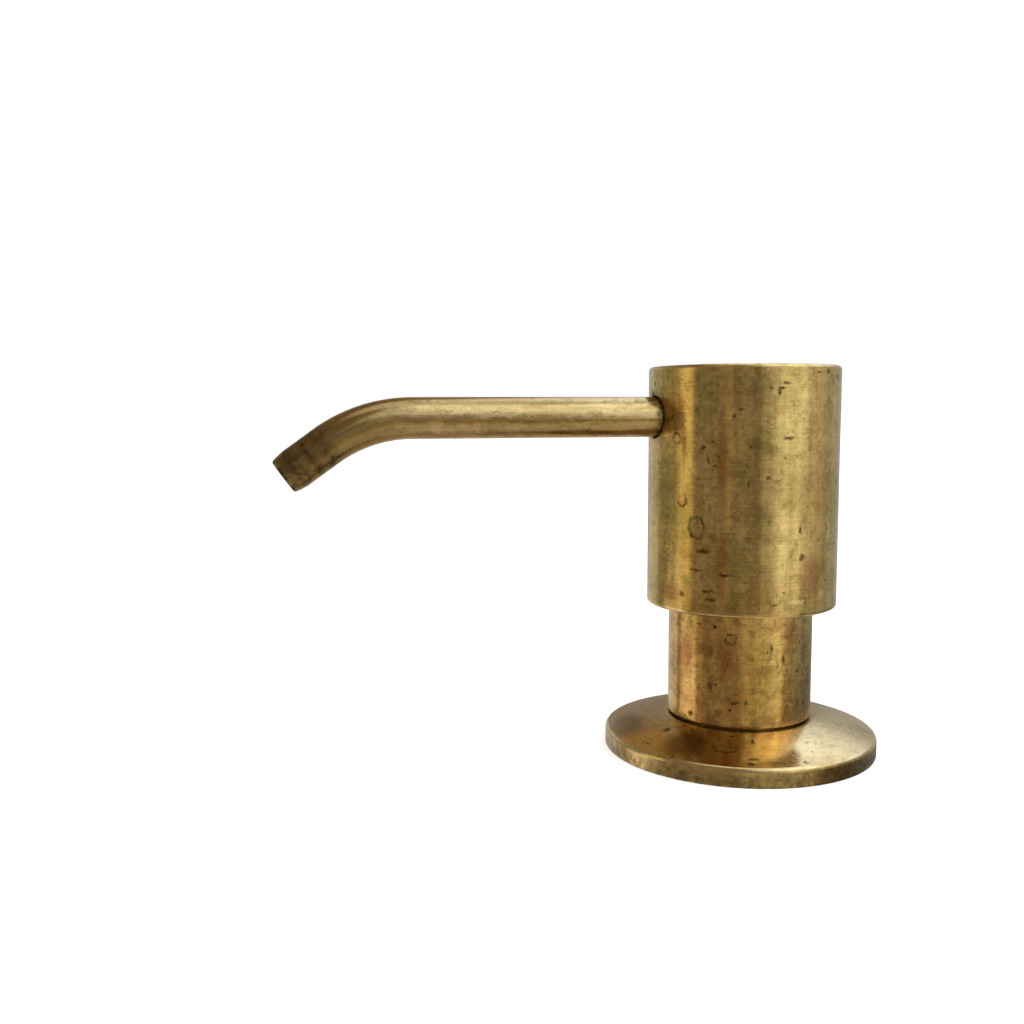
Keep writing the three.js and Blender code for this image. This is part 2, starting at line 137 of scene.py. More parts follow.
# ---- Materials --------------------------------------------------------------------------------
def aged_brass(name, base, tints, wall=None, lengthwise=False):
    """Unlacquered brass, turned or drawn, then brushed and left to age.

    It is metal whose own colour has gone patchy: brown, copper and olive bloom, rings where drops
    dried, pits, and a grain of fine brushing that catches the light."""
    material, tree, shader = new_material(name)
    if lengthwise:
        place = add(tree, "ShaderNodeAttribute", attribute_name="unbent").outputs["Vector"]
    else:
        own = add(tree, "ShaderNodeTexCoord").outputs["Object"]
        place = add(tree, "ShaderNodeVectorMath", [own, (1000, 1000, 1000)], operation="MULTIPLY")
    x, y, z = add(tree, "ShaderNodeSeparateXYZ", [place]).outputs
    flat = add(tree, "ShaderNodeCombineXYZ", [x, y, 0.0])
    radius = add(tree, "ShaderNodeVectorMath", [flat], operation="LENGTH").outputs["Value"]
    if lengthwise:
        along = add(tree, "ShaderNodeVectorMath", [place, (1.0, 1.0, 0.25)], operation="MULTIPLY")
        grain = add(tree, "ShaderNodeVectorMath", [place, (2.6, 2.6, 0.09)], operation="MULTIPLY")
    else:
        rise = add(tree, "ShaderNodeMath", [z, radius], operation="ADD")
        turned = add(tree, "ShaderNodeCombineXYZ", [x, y, rise])
        along = place
        grain = add(tree, "ShaderNodeVectorMath", [turned, (0.12, 0.12, 3.0)],
                    operation="MULTIPLY")

    # Each bloom is patches of one colour: size is set by the scale, per millimetre.
    wander = add(tree, "ShaderNodeTexNoise", {"Vector": place, "Scale": 0.45, "Detail": 4.0,
                                              "Roughness": 0.65})
    bent = add(tree, "ShaderNodeVectorMath", [wander.outputs["Color"], (3.2, 3.2, 3.2), along],
               operation="MULTIPLY_ADD")
    tone = base
    for scale, offset, low, high, code, share in tints:
        moved = add(tree, "ShaderNodeVectorMath", [bent, offset], operation="ADD")
        noise = add(tree, "ShaderNodeTexNoise", {"Vector": moved, "Scale": scale, "Detail": 5.0,
                                                 "Roughness": 0.62})
        amount = add(tree, "ShaderNodeMapRange", [noise, low, high, 0.0, share],
                     interpolation_type="SMOOTHSTEP")
        tone = add(tree, "ShaderNodeMix", [amount, tone, colour(code)], data_type="RGBA")

    # Brushing: fine lines, drawn 0.3 mm apart so that they show, light and dark in turn.
    brushing = add(tree, "ShaderNodeTexNoise", {"Vector": grain, "Scale": 1.0, "Detail": 4.0,
                                                "Roughness": 0.75})
    mottle = add(tree, "ShaderNodeTexNoise", {"Vector": bent, "Scale": 1.1, "Detail": 5.0,
                                              "Roughness": 0.7})
    lines = add(tree, "ShaderNodeMapRange", [brushing, 0.3, 0.7, 0.85, 1.15])
    blots = add(tree, "ShaderNodeMapRange", [mottle, 0.32, 0.68, 0.80, 1.20])
    shade = add(tree, "ShaderNodeMath", [lines, blots], operation="MULTIPLY")
    if wall and not wall["flat"]:
        # Runs of water have left upright streaks, 1 to 3 mm wide.
        runs = add(tree, "ShaderNodeVectorMath", [place, (0.42, 0.42, 0.025)],
                   operation="MULTIPLY")
        runs = add(tree, "ShaderNodeTexNoise", {"Vector": runs, "Scale": 1.0, "Detail": 2.0,
                                                "Roughness": 0.5})
        streak = add(tree, "ShaderNodeMapRange", [runs, 0.35, 0.65, 0.84, 1.16])
        shade = add(tree, "ShaderNodeMath", [shade, streak], operation="MULTIPLY")
    tone = add(tree, "ShaderNodeVectorMath", {"Vector": tone, "Scale": shade}, operation="SCALE")

    # Dried drops leave rings 2 to 4 mm across, dark at the edge; a few are spots, not rings.
    drops = add(tree, "ShaderNodeTexVoronoi", {"Vector": bent, "Scale": 0.115, "Randomness": 1.0})
    pick = add(tree, "ShaderNodeSeparateColor", [drops.outputs["Color"]])
    size = add(tree, "ShaderNodeMapRange", [pick.outputs[0], 0.0, 1.0, 0.05, 0.19])
    off = add(tree, "ShaderNodeMath", [drops.outputs["Distance"], size], operation="SUBTRACT")
    off = add(tree, "ShaderNodeMath", [off], operation="ABSOLUTE")
    band = add(tree, "ShaderNodeMapRange", [off, 0.0, 0.045, 0.8, 0.0],
               interpolation_type="SMOOTHSTEP")
    some = add(tree, "ShaderNodeMath", [pick.outputs[1], 0.84], operation="GREATER_THAN")
    broken = add(tree, "ShaderNodeMapRange", [wander, 0.42, 0.60, 0.0, 0.7])
    stain = add(tree, "ShaderNodeMath", [band, some], operation="MULTIPLY")
    stain = add(tree, "ShaderNodeMath", [stain, broken], operation="MULTIPLY")

    # Dark pits and specks, 0.2 to 0.6 mm, gathered in clusters.
    uneven = add(tree, "ShaderNodeTexNoise", {"Vector": place, "Scale": 1.6, "Detail": 3.0})
    uneven = add(tree, "ShaderNodeVectorMath", [uneven.outputs["Color"], (1.6, 1.6, 1.6), bent],
                 operation="MULTIPLY_ADD")
    dots = add(tree, "ShaderNodeTexVoronoi", {"Vector": uneven, "Scale": 0.6, "Randomness": 1.0})
    dot_pick = add(tree, "ShaderNodeSeparateColor", [dots.outputs["Color"]])
    cluster = add(tree, "ShaderNodeTexNoise", {"Vector": place, "Scale": 0.13, "Detail": 3.0})
    dot_size = add(tree, "ShaderNodeMapRange", [cluster, 0.46, 0.74, 0.0, 0.5])
    dot_size = add(tree, "ShaderNodeMath", [dot_size, dot_pick.outputs[0]], operation="MULTIPLY")
    short = add(tree, "ShaderNodeMath", [dot_size, dots.outputs["Distance"]], operation="SUBTRACT")
    dot = add(tree, "ShaderNodeMapRange", [short, -0.04, 0.16, 0.0, 0.75],
              interpolation_type="SMOOTHSTEP")
    stain = add(tree, "ShaderNodeMath", [stain, dot], operation="MAXIMUM")

    pale = None
    if lengthwise:
        # Painted dark reflections: two lines along each flank of the tube, one level and one low, 1
        # mm wide.
        sway = add(tree, "ShaderNodeMapRange", [wander, 0.3, 0.7, -0.1, 0.7])
        level = add(tree, "ShaderNodeMath", [x, sway], operation="ADD")
        low = add(tree, "ShaderNodeMath", [level, 2.7], operation="ADD")
        level = add(tree, "ShaderNodeMath", [level], operation="ABSOLUTE")
        low = add(tree, "ShaderNodeMath", [low], operation="ABSOLUTE")
        dark_reflection_off = add(tree, "ShaderNodeMath", [level, low], operation="MINIMUM")
        line = add(tree, "ShaderNodeMapRange", [dark_reflection_off, 0.1, 1.0, 0.55, 0.0],
                   interpolation_type="SMOOTHSTEP")
        tone = add(tree, "ShaderNodeMix", [line, tone, colour(0x7A5628)], data_type="RGBA")
        # Past the bend, where a hand pulls soap off it, the tube is browner.
        aged = add(tree, "ShaderNodeMapRange", [z, 56.0, 76.0, 0.0, 0.62],
                   interpolation_type="SMOOTHSTEP")
        tone = add(tree, "ShaderNodeMix", [aged, tone, colour(0x8F7344)], data_type="RGBA")
    if wall:
        # Single marks on a wall, by angle round it and height: see each list.
        minus_y = add(tree, "ShaderNodeMath", [y, -1.0], operation="MULTIPLY")
        turn = add(tree, "ShaderNodeMath", [x, minus_y], operation="ARCTAN2")
        arc_length = add(tree, "ShaderNodeMath", [turn, wall["radius"]], operation="MULTIPLY")
        level = radius if wall["flat"] else z
        unrolled = add(tree, "ShaderNodeCombineXYZ", [arc_length, level, 0.0])
        edge = add(tree, "ShaderNodeTexNoise", {"Vector": place, "Scale": 0.9, "Detail": 5.0,
                                                "Roughness": 0.7})
        ragged = add(tree, "ShaderNodeVectorMath",
                     [edge.outputs["Color"], (1.8, 1.8, 0.0), (-0.9, -0.9, 0.0)],
                     operation="MULTIPLY_ADD")
        unrolled = add(tree, "ShaderNodeVectorMath", [unrolled, ragged], operation="ADD")
        near = {}
        for kind in ("spots", "rings", "patches", "pale"):
            closest = None
            for degrees, height, half_width, half_height in wall[kind]:
                middle = math.radians(degrees) * wall["radius"]
                stretch = (1 / half_width, 1 / half_height, 0.0)
                shift = (-middle / half_width, -height / half_height, 0.0)
                local = add(tree, "ShaderNodeVectorMath", [unrolled, stretch, shift],
                            operation="MULTIPLY_ADD")
                away = add(tree, "ShaderNodeVectorMath", [local], operation="LENGTH")
                away = away.outputs["Value"]
                if kind == "rings":
                    away = add(tree, "ShaderNodeMath", [away, 1.0], operation="SUBTRACT")
                    away = add(tree, "ShaderNodeMath", [away], operation="ABSOLUTE")
                if closest is None:
                    closest = away
                else:
                    closest = add(tree, "ShaderNodeMath", [closest, away], operation="MINIMUM")
            near[kind] = closest
        spot = add(tree, "ShaderNodeMapRange", [near["spots"], 0.5, 1.5, 1.0, 0.0],
                   interpolation_type="SMOOTHSTEP")
        ring = add(tree, "ShaderNodeMapRange", [near["rings"], 0.02, 0.38, 1.0, 0.0],
                   interpolation_type="SMOOTHSTEP")
        broken = add(tree, "ShaderNodeMapRange", [wander, 0.40, 0.58, 0.15, 0.9])
        ring = add(tree, "ShaderNodeMath", [ring, broken], operation="MULTIPLY")
        broken = add(tree, "ShaderNodeMapRange", [mottle, 0.38, 0.62, 0.6, 1.0])
        spot = add(tree, "ShaderNodeMath", [spot, broken], operation="MULTIPLY")
        patch = add(tree, "ShaderNodeMapRange",
                    [near["patches"], 0.4, 1.4, wall["patch share"], 0.0],
                    interpolation_type="SMOOTHSTEP")
        pale = add(tree, "ShaderNodeMapRange", [near["pale"], 0.5, 1.3, 0.7, 0.0],
                   interpolation_type="SMOOTHSTEP")
        tone = add(tree, "ShaderNodeMix", [patch, tone, colour(wall["patch"])],
                   data_type="RGBA")
        stain = add(tree, "ShaderNodeMath", [stain, spot], operation="MAXIMUM")
        stain = add(tree, "ShaderNodeMath", [stain, ring], operation="MAXIMUM")

    # Rubbed edges are brighter, partly wear and partly a painted edge highlight.
    # Joints and recesses are dark, partly grime and partly painted shade.
    grime_and_shade = add(tree, "ShaderNodeAttribute", attribute_name="grime_and_shade").outputs["Fac"]
    worn_and_glint = add(tree, "ShaderNodeAttribute", attribute_name="worn_and_glint").outputs["Fac"]
    patchy = add(tree, "ShaderNodeTexNoise", {"Vector": place, "Scale": 0.7, "Detail": 4.0})
    patchy = add(tree, "ShaderNodeMapRange", [patchy, 0.35, 0.65, 0.3, 1.2])
    dark_grime_and_shade = add(tree, "ShaderNodeMath", [grime_and_shade, patchy], operation="MULTIPLY", use_clamp=True)
    rub_and_glint = add(tree, "ShaderNodeMath", [worn_and_glint, patchy], operation="MULTIPLY", use_clamp=True)
    if pale:
        rub_and_glint = add(tree, "ShaderNodeMath", [rub_and_glint, pale], operation="MAXIMUM")
    # Pale brass on edges and pale marks: partly wear, partly painted highlight.
    tone = add(tree, "ShaderNodeMix", [rub_and_glint, tone, colour(0xE6CF9C)], data_type="RGBA")
    tone = add(tree, "ShaderNodeMix", [stain, tone, colour(0x4E3A1A)], data_type="RGBA")
    # Near black in joints and recesses: partly grime, partly painted shade.
    tone = add(tree, "ShaderNodeMix", [dark_grime_and_shade, tone, colour(0x2E2316)], data_type="RGBA")
    tree.links.new(tone.outputs[2], shader.inputs["Base Color"])

    dull = add(tree, "ShaderNodeMapRange", [mottle, 0.3, 0.7, 0.11, 0.21])
    dull = add(tree, "ShaderNodeMath", [stain, 0.22, dull], operation="MULTIPLY_ADD")
    dull = add(tree, "ShaderNodeMath", [dark_grime_and_shade, 0.3, dull], operation="MULTIPLY_ADD")
    shader.inputs["Metallic"].default_value = 1.0
    tree.links.new(dull.outputs[0], shader.inputs["Roughness"])

    # Height: the brushing, shallow etched stains, and slight waves left from polishing by hand.
    waves = add(tree, "ShaderNodeTexNoise", {"Vector": along, "Scale": 0.22, "Detail": 3.0})
    height = add(tree, "ShaderNodeMath", [stain, -1.0, brushing], operation="MULTIPLY_ADD")
    height = add(tree, "ShaderNodeMath", [waves, 1.5, height], operation="MULTIPLY_ADD")
    dents = add(tree, "ShaderNodeBump", {"Strength": 0.5, "Distance": 0.00002, "Height": height})
    tree.links.new(dents.outputs[0], shader.inputs["Normal"])
    return material


def turned_brass(name):
    """Free-cutting brass straight from the lathe: clean gold with fine tool lines."""
    material, tree, shader = new_material(name)
    own = add(tree, "ShaderNodeTexCoord").outputs["Object"]
    x, y, z = add(tree, "ShaderNodeSeparateXYZ", [own]).outputs
    flat = add(tree, "ShaderNodeCombineXYZ", [x, y, 0.0])
    radius = add(tree, "ShaderNodeVectorMath", [flat], operation="LENGTH").outputs["Value"]
    rise = add(tree, "ShaderNodeMath", [z, radius], operation="ADD")
    line = add(tree, "ShaderNodeCombineXYZ", [x, y, rise])
    line = add(tree, "ShaderNodeVectorMath", [line, (60, 60, 4000)], operation="MULTIPLY")
    tooling = add(tree, "ShaderNodeTexNoise", {"Vector": line, "Scale": 1.0, "Detail": 2.0})
    tarnish = add(tree, "ShaderNodeTexNoise", {"Vector": own, "Scale": 90.0, "Detail": 4.0})
    amount = add(tree, "ShaderNodeMapRange", [tarnish, 0.45, 0.7, 0.0, 0.7])
    tone = add(tree, "ShaderNodeMix", [amount, colour(0xD9B76C), colour(0xA98345)],
               data_type="RGBA")
    tree.links.new(tone.outputs[2], shader.inputs["Base Color"])
    dull = add(tree, "ShaderNodeMapRange", [tooling, 0.3, 0.7, 0.22, 0.4])
    tree.links.new(dull.outputs[0], shader.inputs["Roughness"])
    shader.inputs["Metallic"].default_value = 1.0
    dents = add(tree, "ShaderNodeBump", {"Strength": 0.4, "Distance": 0.00003,
                                         "Height": tooling})
    tree.links.new(dents.outputs[0], shader.inputs["Normal"])
    return material


def bright_steel(name):
    """Stainless steel, rolled or drawn: cool grey with faint lines round it."""
    material, tree, shader = new_material(name)
    own = add(tree, "ShaderNodeTexCoord").outputs["Object"]
    x, y, z = add(tree, "ShaderNodeSeparateXYZ", [own]).outputs
    flat = add(tree, "ShaderNodeCombineXYZ", [x, y, 0.0])
    radius = add(tree, "ShaderNodeVectorMath", [flat], operation="LENGTH").outputs["Value"]
    line = add(tree, "ShaderNodeCombineXYZ", [x, y, radius])
    line = add(tree, "ShaderNodeVectorMath", [line, (80, 80, 2500)], operation="MULTIPLY")
    lines = add(tree, "ShaderNodeTexNoise", {"Vector": line, "Scale": 1.0, "Detail": 3.0})
    tone = add(tree, "ShaderNodeMix", [lines, colour(0xB4B6B8), colour(0xD6D7D6)],
               data_type="RGBA")
    tree.links.new(tone.outputs[2], shader.inputs["Base Color"])
    dull = add(tree, "ShaderNodeMapRange", [lines, 0.3, 0.7, 0.18, 0.32])
    tree.links.new(dull.outputs[0], shader.inputs["Roughness"])
    shader.inputs["Metallic"].default_value = 1.0
    return material


def black_rubber(name):
    """EPDM rubber, pressed in a mould: near black, matt, with a faint bloom."""
    material, tree, shader = new_material(name)
    own = add(tree, "ShaderNodeTexCoord").outputs["Object"]
    bloom = add(tree, "ShaderNodeTexNoise", {"Vector": own, "Scale": 220.0, "Detail": 5.0})
    grit = add(tree, "ShaderNodeTexNoise", {"Vector": own, "Scale": 3200.0, "Detail": 2.0})
    tone = add(tree, "ShaderNodeMix", [bloom, colour(0x161616), colour(0x2C2B2A)],
               data_type="RGBA")
    tree.links.new(tone.outputs[2], shader.inputs["Base Color"])
    dull = add(tree, "ShaderNodeMapRange", [bloom, 0.3, 0.7, 0.62, 0.85])
    tree.links.new(dull.outputs[0], shader.inputs["Roughness"])
    dents = add(tree, "ShaderNodeBump", {"Strength": 0.3, "Distance": 0.00005, "Height": grit})
    tree.links.new(dents.outputs[0], shader.inputs["Normal"])
    return material


def moulded_plastic(name, light, dark, roughness, soft):
    """Injection-moulded plastic: even colour, a soft gloss and a fine moulded skin."""
    material, tree, shader = new_material(name)
    own = add(tree, "ShaderNodeTexCoord").outputs["Object"]
    cloud = add(tree, "ShaderNodeTexNoise", {"Vector": own, "Scale": 60.0, "Detail": 3.0})
    skin = add(tree, "ShaderNodeTexNoise", {"Vector": own, "Scale": 2600.0, "Detail": 2.0})
    tone = add(tree, "ShaderNodeMix", [cloud, colour(light), colour(dark)], data_type="RGBA")
    tree.links.new(tone.outputs[2], shader.inputs["Base Color"])
    dull = add(tree, "ShaderNodeMapRange", [skin, 0.3, 0.7, roughness - 0.05, roughness + 0.07])
    tree.links.new(dull.outputs[0], shader.inputs["Roughness"])
    shader.inputs["IOR"].default_value = 1.49
    shader.inputs["Subsurface Weight"].default_value = soft
    shader.inputs["Subsurface Radius"].default_value = (0.0016, 0.0015, 0.0013)
    shader.inputs["Subsurface Scale"].default_value = 1.0
    dents = add(tree, "ShaderNodeBump", {"Strength": 0.15, "Distance": 0.00004, "Height": skin})
    tree.links.new(dents.outputs[0], shader.inputs["Normal"])
    return material


def natural_polyethylene(name):
    """Blow-moulded polyethylene without pigment: milky, half clear, with a soft waxy skin."""
    material, tree, shader = new_material(name)
    own = add(tree, "ShaderNodeTexCoord").outputs["Object"]
    flow = add(tree, "ShaderNodeVectorMath", [own, (180, 180, 45)], operation="MULTIPLY")
    cloud = add(tree, "ShaderNodeTexNoise", {"Vector": flow, "Scale": 1.0, "Detail": 3.0})
    skin = add(tree, "ShaderNodeTexNoise", {"Vector": own, "Scale": 900.0, "Detail": 3.0})
    tone = add(tree, "ShaderNodeMix", [cloud, colour(0xF1F2EC), colour(0xE2E5DC)],
               data_type="RGBA")
    tree.links.new(tone.outputs[2], shader.inputs["Base Color"])
    dull = add(tree, "ShaderNodeMapRange", [cloud, 0.3, 0.7, 0.34, 0.46])
    tree.links.new(dull.outputs[0], shader.inputs["Roughness"])
    shader.inputs["IOR"].default_value = 1.51
    shader.inputs["Transmission Weight"].default_value = 0.45
    dents = add(tree, "ShaderNodeBump", {"Strength": 0.2, "Distance": 0.0001, "Height": skin})
    tree.links.new(dents.outputs[0], shader.inputs["Normal"])
    return material


BRASS = colour(0xD6B878)
COLLAR_BRASS = colour(0xDAB874)
FLANGE_BRASS = colour(0xD6BD8A)
SPOUT_BRASS = colour(0xCBB483)

# A bloom: scale per mm, where in the noise, from and to what noise value, colour, most share.
TINTS = [
    (0.06, (0, 0, 0), 0.44, 0.62, 0xA88A4E, 0.50),
    (0.09, (40, 7, 3), 0.52, 0.66, 0xB9905F, 0.40),
    (0.13, (9, 60, 21), 0.50, 0.64, 0x9C9250, 0.45),
    (0.35, (3, 19, 80), 0.50, 0.66, 0x8C733C, 0.45),
    (0.9, (23, 1, 11), 0.54, 0.68, 0x6F582C, 0.45),
]
COLLAR_TINTS = [
    (0.10, (5, 5, 50), 0.44, 0.60, 0xB07E55, 0.55),
    (0.15, (9, 60, 21), 0.52, 0.64, 0x9A8E50, 0.40),
    (0.4, (3, 19, 80), 0.48, 0.64, 0x86663A, 0.50),
    (0.9, (23, 1, 11), 0.54, 0.68, 0x6F552C, 0.45),
]

SPOUT_TINTS = [
    (0.09, (40, 7, 3), 0.48, 0.64, 0xA98F5A, 0.35),
    (0.35, (3, 19, 80), 0.50, 0.66, 0x8C733C, 0.40),
    (0.9, (23, 1, 11), 0.52, 0.68, 0x7A5C2C, 0.45),
]
FLANGE_TINTS = [
    (0.10, (40, 7, 3), 0.54, 0.68, 0xBF9A5E, 0.40),
    (0.35, (3, 19, 80), 0.54, 0.70, 0x8C733C, 0.35),
]


def pits(seed, count, low, high, radius):
    """Dark pits strewn over a wall by chance: half are round, the rest drawn out up or across."""
    draw = random.Random(seed)
    strewn = []
    for _ in range(count):
        degrees = draw.uniform(-80.0, 50.0)
        height = draw.uniform(low, high)
        size = draw.triangular(0.2, 0.8, 0.3)
        stretch = draw.choice((0.6, 1.0, 1.0, 1.8))
        strewn.append((degrees, height, min(size * stretch, radius / 10), size / stretch))
    return strewn


# Only the larger marks are set one by one, roughly: angle round the wall from the front in steps
# of five degrees, height in whole millimetres, then half width and half height. A ring is a
# dried drop and a patch is tinted, save two upright patches on the head that are a painted
# reflection. A pale mark is rubbed, save those on the flange, which are a painted highlight.
# The spots are pits strewn by chance.
HEAD_MARKS = {
    "radius": HEAD_R, "flat": False, "patch": 0x9C6442, "patch share": 0.55,
    "spots": pits(3, 34, 32.0, 77.0, HEAD_R),
    "rings": [(-65, 64, 1, 1), (-40, 60, 1, 1), (-60, 52, 1, 1), (-50, 47, 1.5, 2)],
    # The two tall, thin patches at -35 degrees are a painted reflection, a copper streak.
    "patches": [(-70, 34, 3, 2), (-35, 60, 1, 9), (-35, 40, 1, 7), (20, 38, 3, 4)],
    "pale": [(30, 34, 1, 1), (10, 33, 2, 0.5)],
}
COLLAR_MARKS = {
    "radius": COLLAR_R, "flat": False, "patch": 0x9C6442, "patch share": 0.55,
    "spots": pits(5, 18, 9.0, 28.0, COLLAR_R),
    "rings": [(-30, 25, 1, 1)],
    "patches": [(-35, 22, 2, 5), (-70, 20, 2, 4)],
    "pale": [(30, 22, 0.5, 0.5)],
}
# On the flange the second number is the distance from the middle, in place of a height, and the
# widths are true at the middle of its top.
FLANGE_MARKS = {
    "radius": FLANGE_MIDDLE_R, "flat": True, "patch": 0x6A4A12, "patch share": 0.8,
    "spots": pits(8, 8, 17.0, 27.0, FLANGE_MIDDLE_R),
    "rings": [(-30, 22, 2, 1)],
    "patches": [(-50, 22, 4, 5), (-95, 24, 6, 4), (20, 28, 9, 1)],
    # These pale marks are a painted highlight.
    "pale": [(0, 18, 4, 3), (10, 22, 3, 3)],
}
aged_head = aged_brass("aged_brass_head", BRASS, TINTS, HEAD_MARKS)
aged_collar = aged_brass("aged_brass_collar", COLLAR_BRASS, COLLAR_TINTS, COLLAR_MARKS)
aged_flange = aged_brass("aged_brass_flange", FLANGE_BRASS, FLANGE_TINTS, FLANGE_MARKS)
aged_spout = aged_brass("aged_brass_spout", SPOUT_BRASS, SPOUT_TINTS, lengthwise=True)
raw_brass = turned_brass("turned_brass")
steel = bright_steel("stainless_steel")
rubber = black_rubber("epdm_rubber")
pump_white = moulded_plastic("white_polypropylene", 0xD2CFC6, 0xC2BFB5, 0.4, 0.2)
nylon = moulded_plastic("natural_nylon", 0xCFC8B4, 0xBDB59F, 0.48, 0.25)
milky = natural_polyethylene("natural_polyethylene")


# ---- Shape helpers ----------------------------------------------------------------------------
def arc(r, z, radius, start, end, steps):
    """Points of a round in an outline, about the centre (r, z), from start to end in degrees."""
    angles = [math.radians(start + (end - start) * i / steps) for i in range(steps + 1)]
    return [(r + radius * math.cos(a), z + radius * math.sin(a)) for a in angles]


def eased(outline, radius, steps=4):
    """The outline with each corner over 20 degrees rounded and a close line beside each round."""
    closed = outline[0][0] > 1e-6
    made = []
    last = len(outline) - 1
    for i, point in enumerate(outline):
        here = Vector(point)
        if not closed and i in (0, last):
            made.append(point)
            continue
        before = Vector(outline[i - 1]) - here
        after = Vector(outline[(i + 1) % (last + 1)]) - here
        turn = math.pi - before.angle(after)
        if turn < math.radians(20):
            made.append(point)
            continue
        reach = min(radius * math.tan(turn / 2), before.length * 0.4, after.length * 0.4)
        start = here + before.normalized() * reach
        end = here + after.normalized() * reach
        support = min(0.15, before.length * 0.08, after.length * 0.08)
        made.append(tuple(start + before.normalized() * support))
        for k in range(steps + 1):
            t = k / steps
            made.append(tuple(start * (1 - t) ** 2 + here * 2 * t * (1 - t) + end * t ** 2))
        made.append(tuple(end + after.normalized() * support))
    return made


def revolve(outline, sides):
    """Points and faces of an outline of (radius, height) turned about Z, closed into a solid."""
    points, faces, rings = [], [], []
    for r, z in outline:
        first = len(points)
        if r < 1e-6:
            points.append((0.0, 0.0, z))
            rings.append([first] * sides)
            continue
        for k in range(sides):
            a = 2 * math.pi * k / sides
            points.append((-r * math.cos(a), -r * math.sin(a), z))
        rings.append([first + k for k in range(sides)])
    pairs = list(zip(rings, rings[1:]))
    if outline[0][0] > 1e-6:
        pairs.append((rings[-1], rings[0]))
    for low, high in pairs:
        for k in range(sides):
            n = (k + 1) % sides
            corners = [low[k], low[n], high[n], high[k]]
            faces.append(list(dict.fromkeys(corners)))
    return points, [f for f in faces if len(f) > 2]


def section(node):
    """The outline of a turned CAD node, read where its mesh crosses the half plane y = 0, x > 0."""
    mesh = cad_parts[node].data
    spots = {}
    joined = {}
    for face in mesh.polygons:
        keys = []
        for index in face.vertices:
            place = mesh.vertices[index].co
            if abs(place.y) < 2e-7 and place.x > -1e-7:
                key = (round(place.x * 1e5), round(place.z * 1e5))
                spots[key] = (max(place.x, 0.0) / MM, place.z / MM)
                keys.append(key)
        if len(set(keys)) == 2:
            one, other = sorted(set(keys))
            joined.setdefault(one, set()).add(other)
            joined.setdefault(other, set()).add(one)
    ends = [key for key, others in joined.items() if len(others) == 1]
    here = ends[0] if ends else min(joined)
    walk = [here]
    while True:
        onward = [key for key in sorted(joined[here]) if key not in walk]
        if not onward:
            break
        here = onward[0]
        walk.append(here)
    outline = []
    for key in walk:
        outline.append(spots[key])
    kept = []
    for i, point in enumerate(outline):
        if 0 < i < len(outline) - 1:
            a, b = Vector(outline[i - 1]), Vector(outline[i + 1])
            if (Vector(point) - a).length > 1e-6 and (b - Vector(point)).length > 1e-6:
                if (Vector(point) - a).angle(b - Vector(point)) < 1e-3:
                    continue
        kept.append((0.0, point[1]) if point[0] < 1e-3 else point)
    return kept


def ring_values(places, rings):
    """How strongly each (radius, height) place is marked.

    The rings are (radius, height, reach, most)."""
    values = []
    for r, z in places:
        near = [most * math.exp(-((r - a) ** 2 + (z - b) ** 2) / reach ** 2)
                for a, b, reach, most in rings]
        values.append(max(near))
    return values


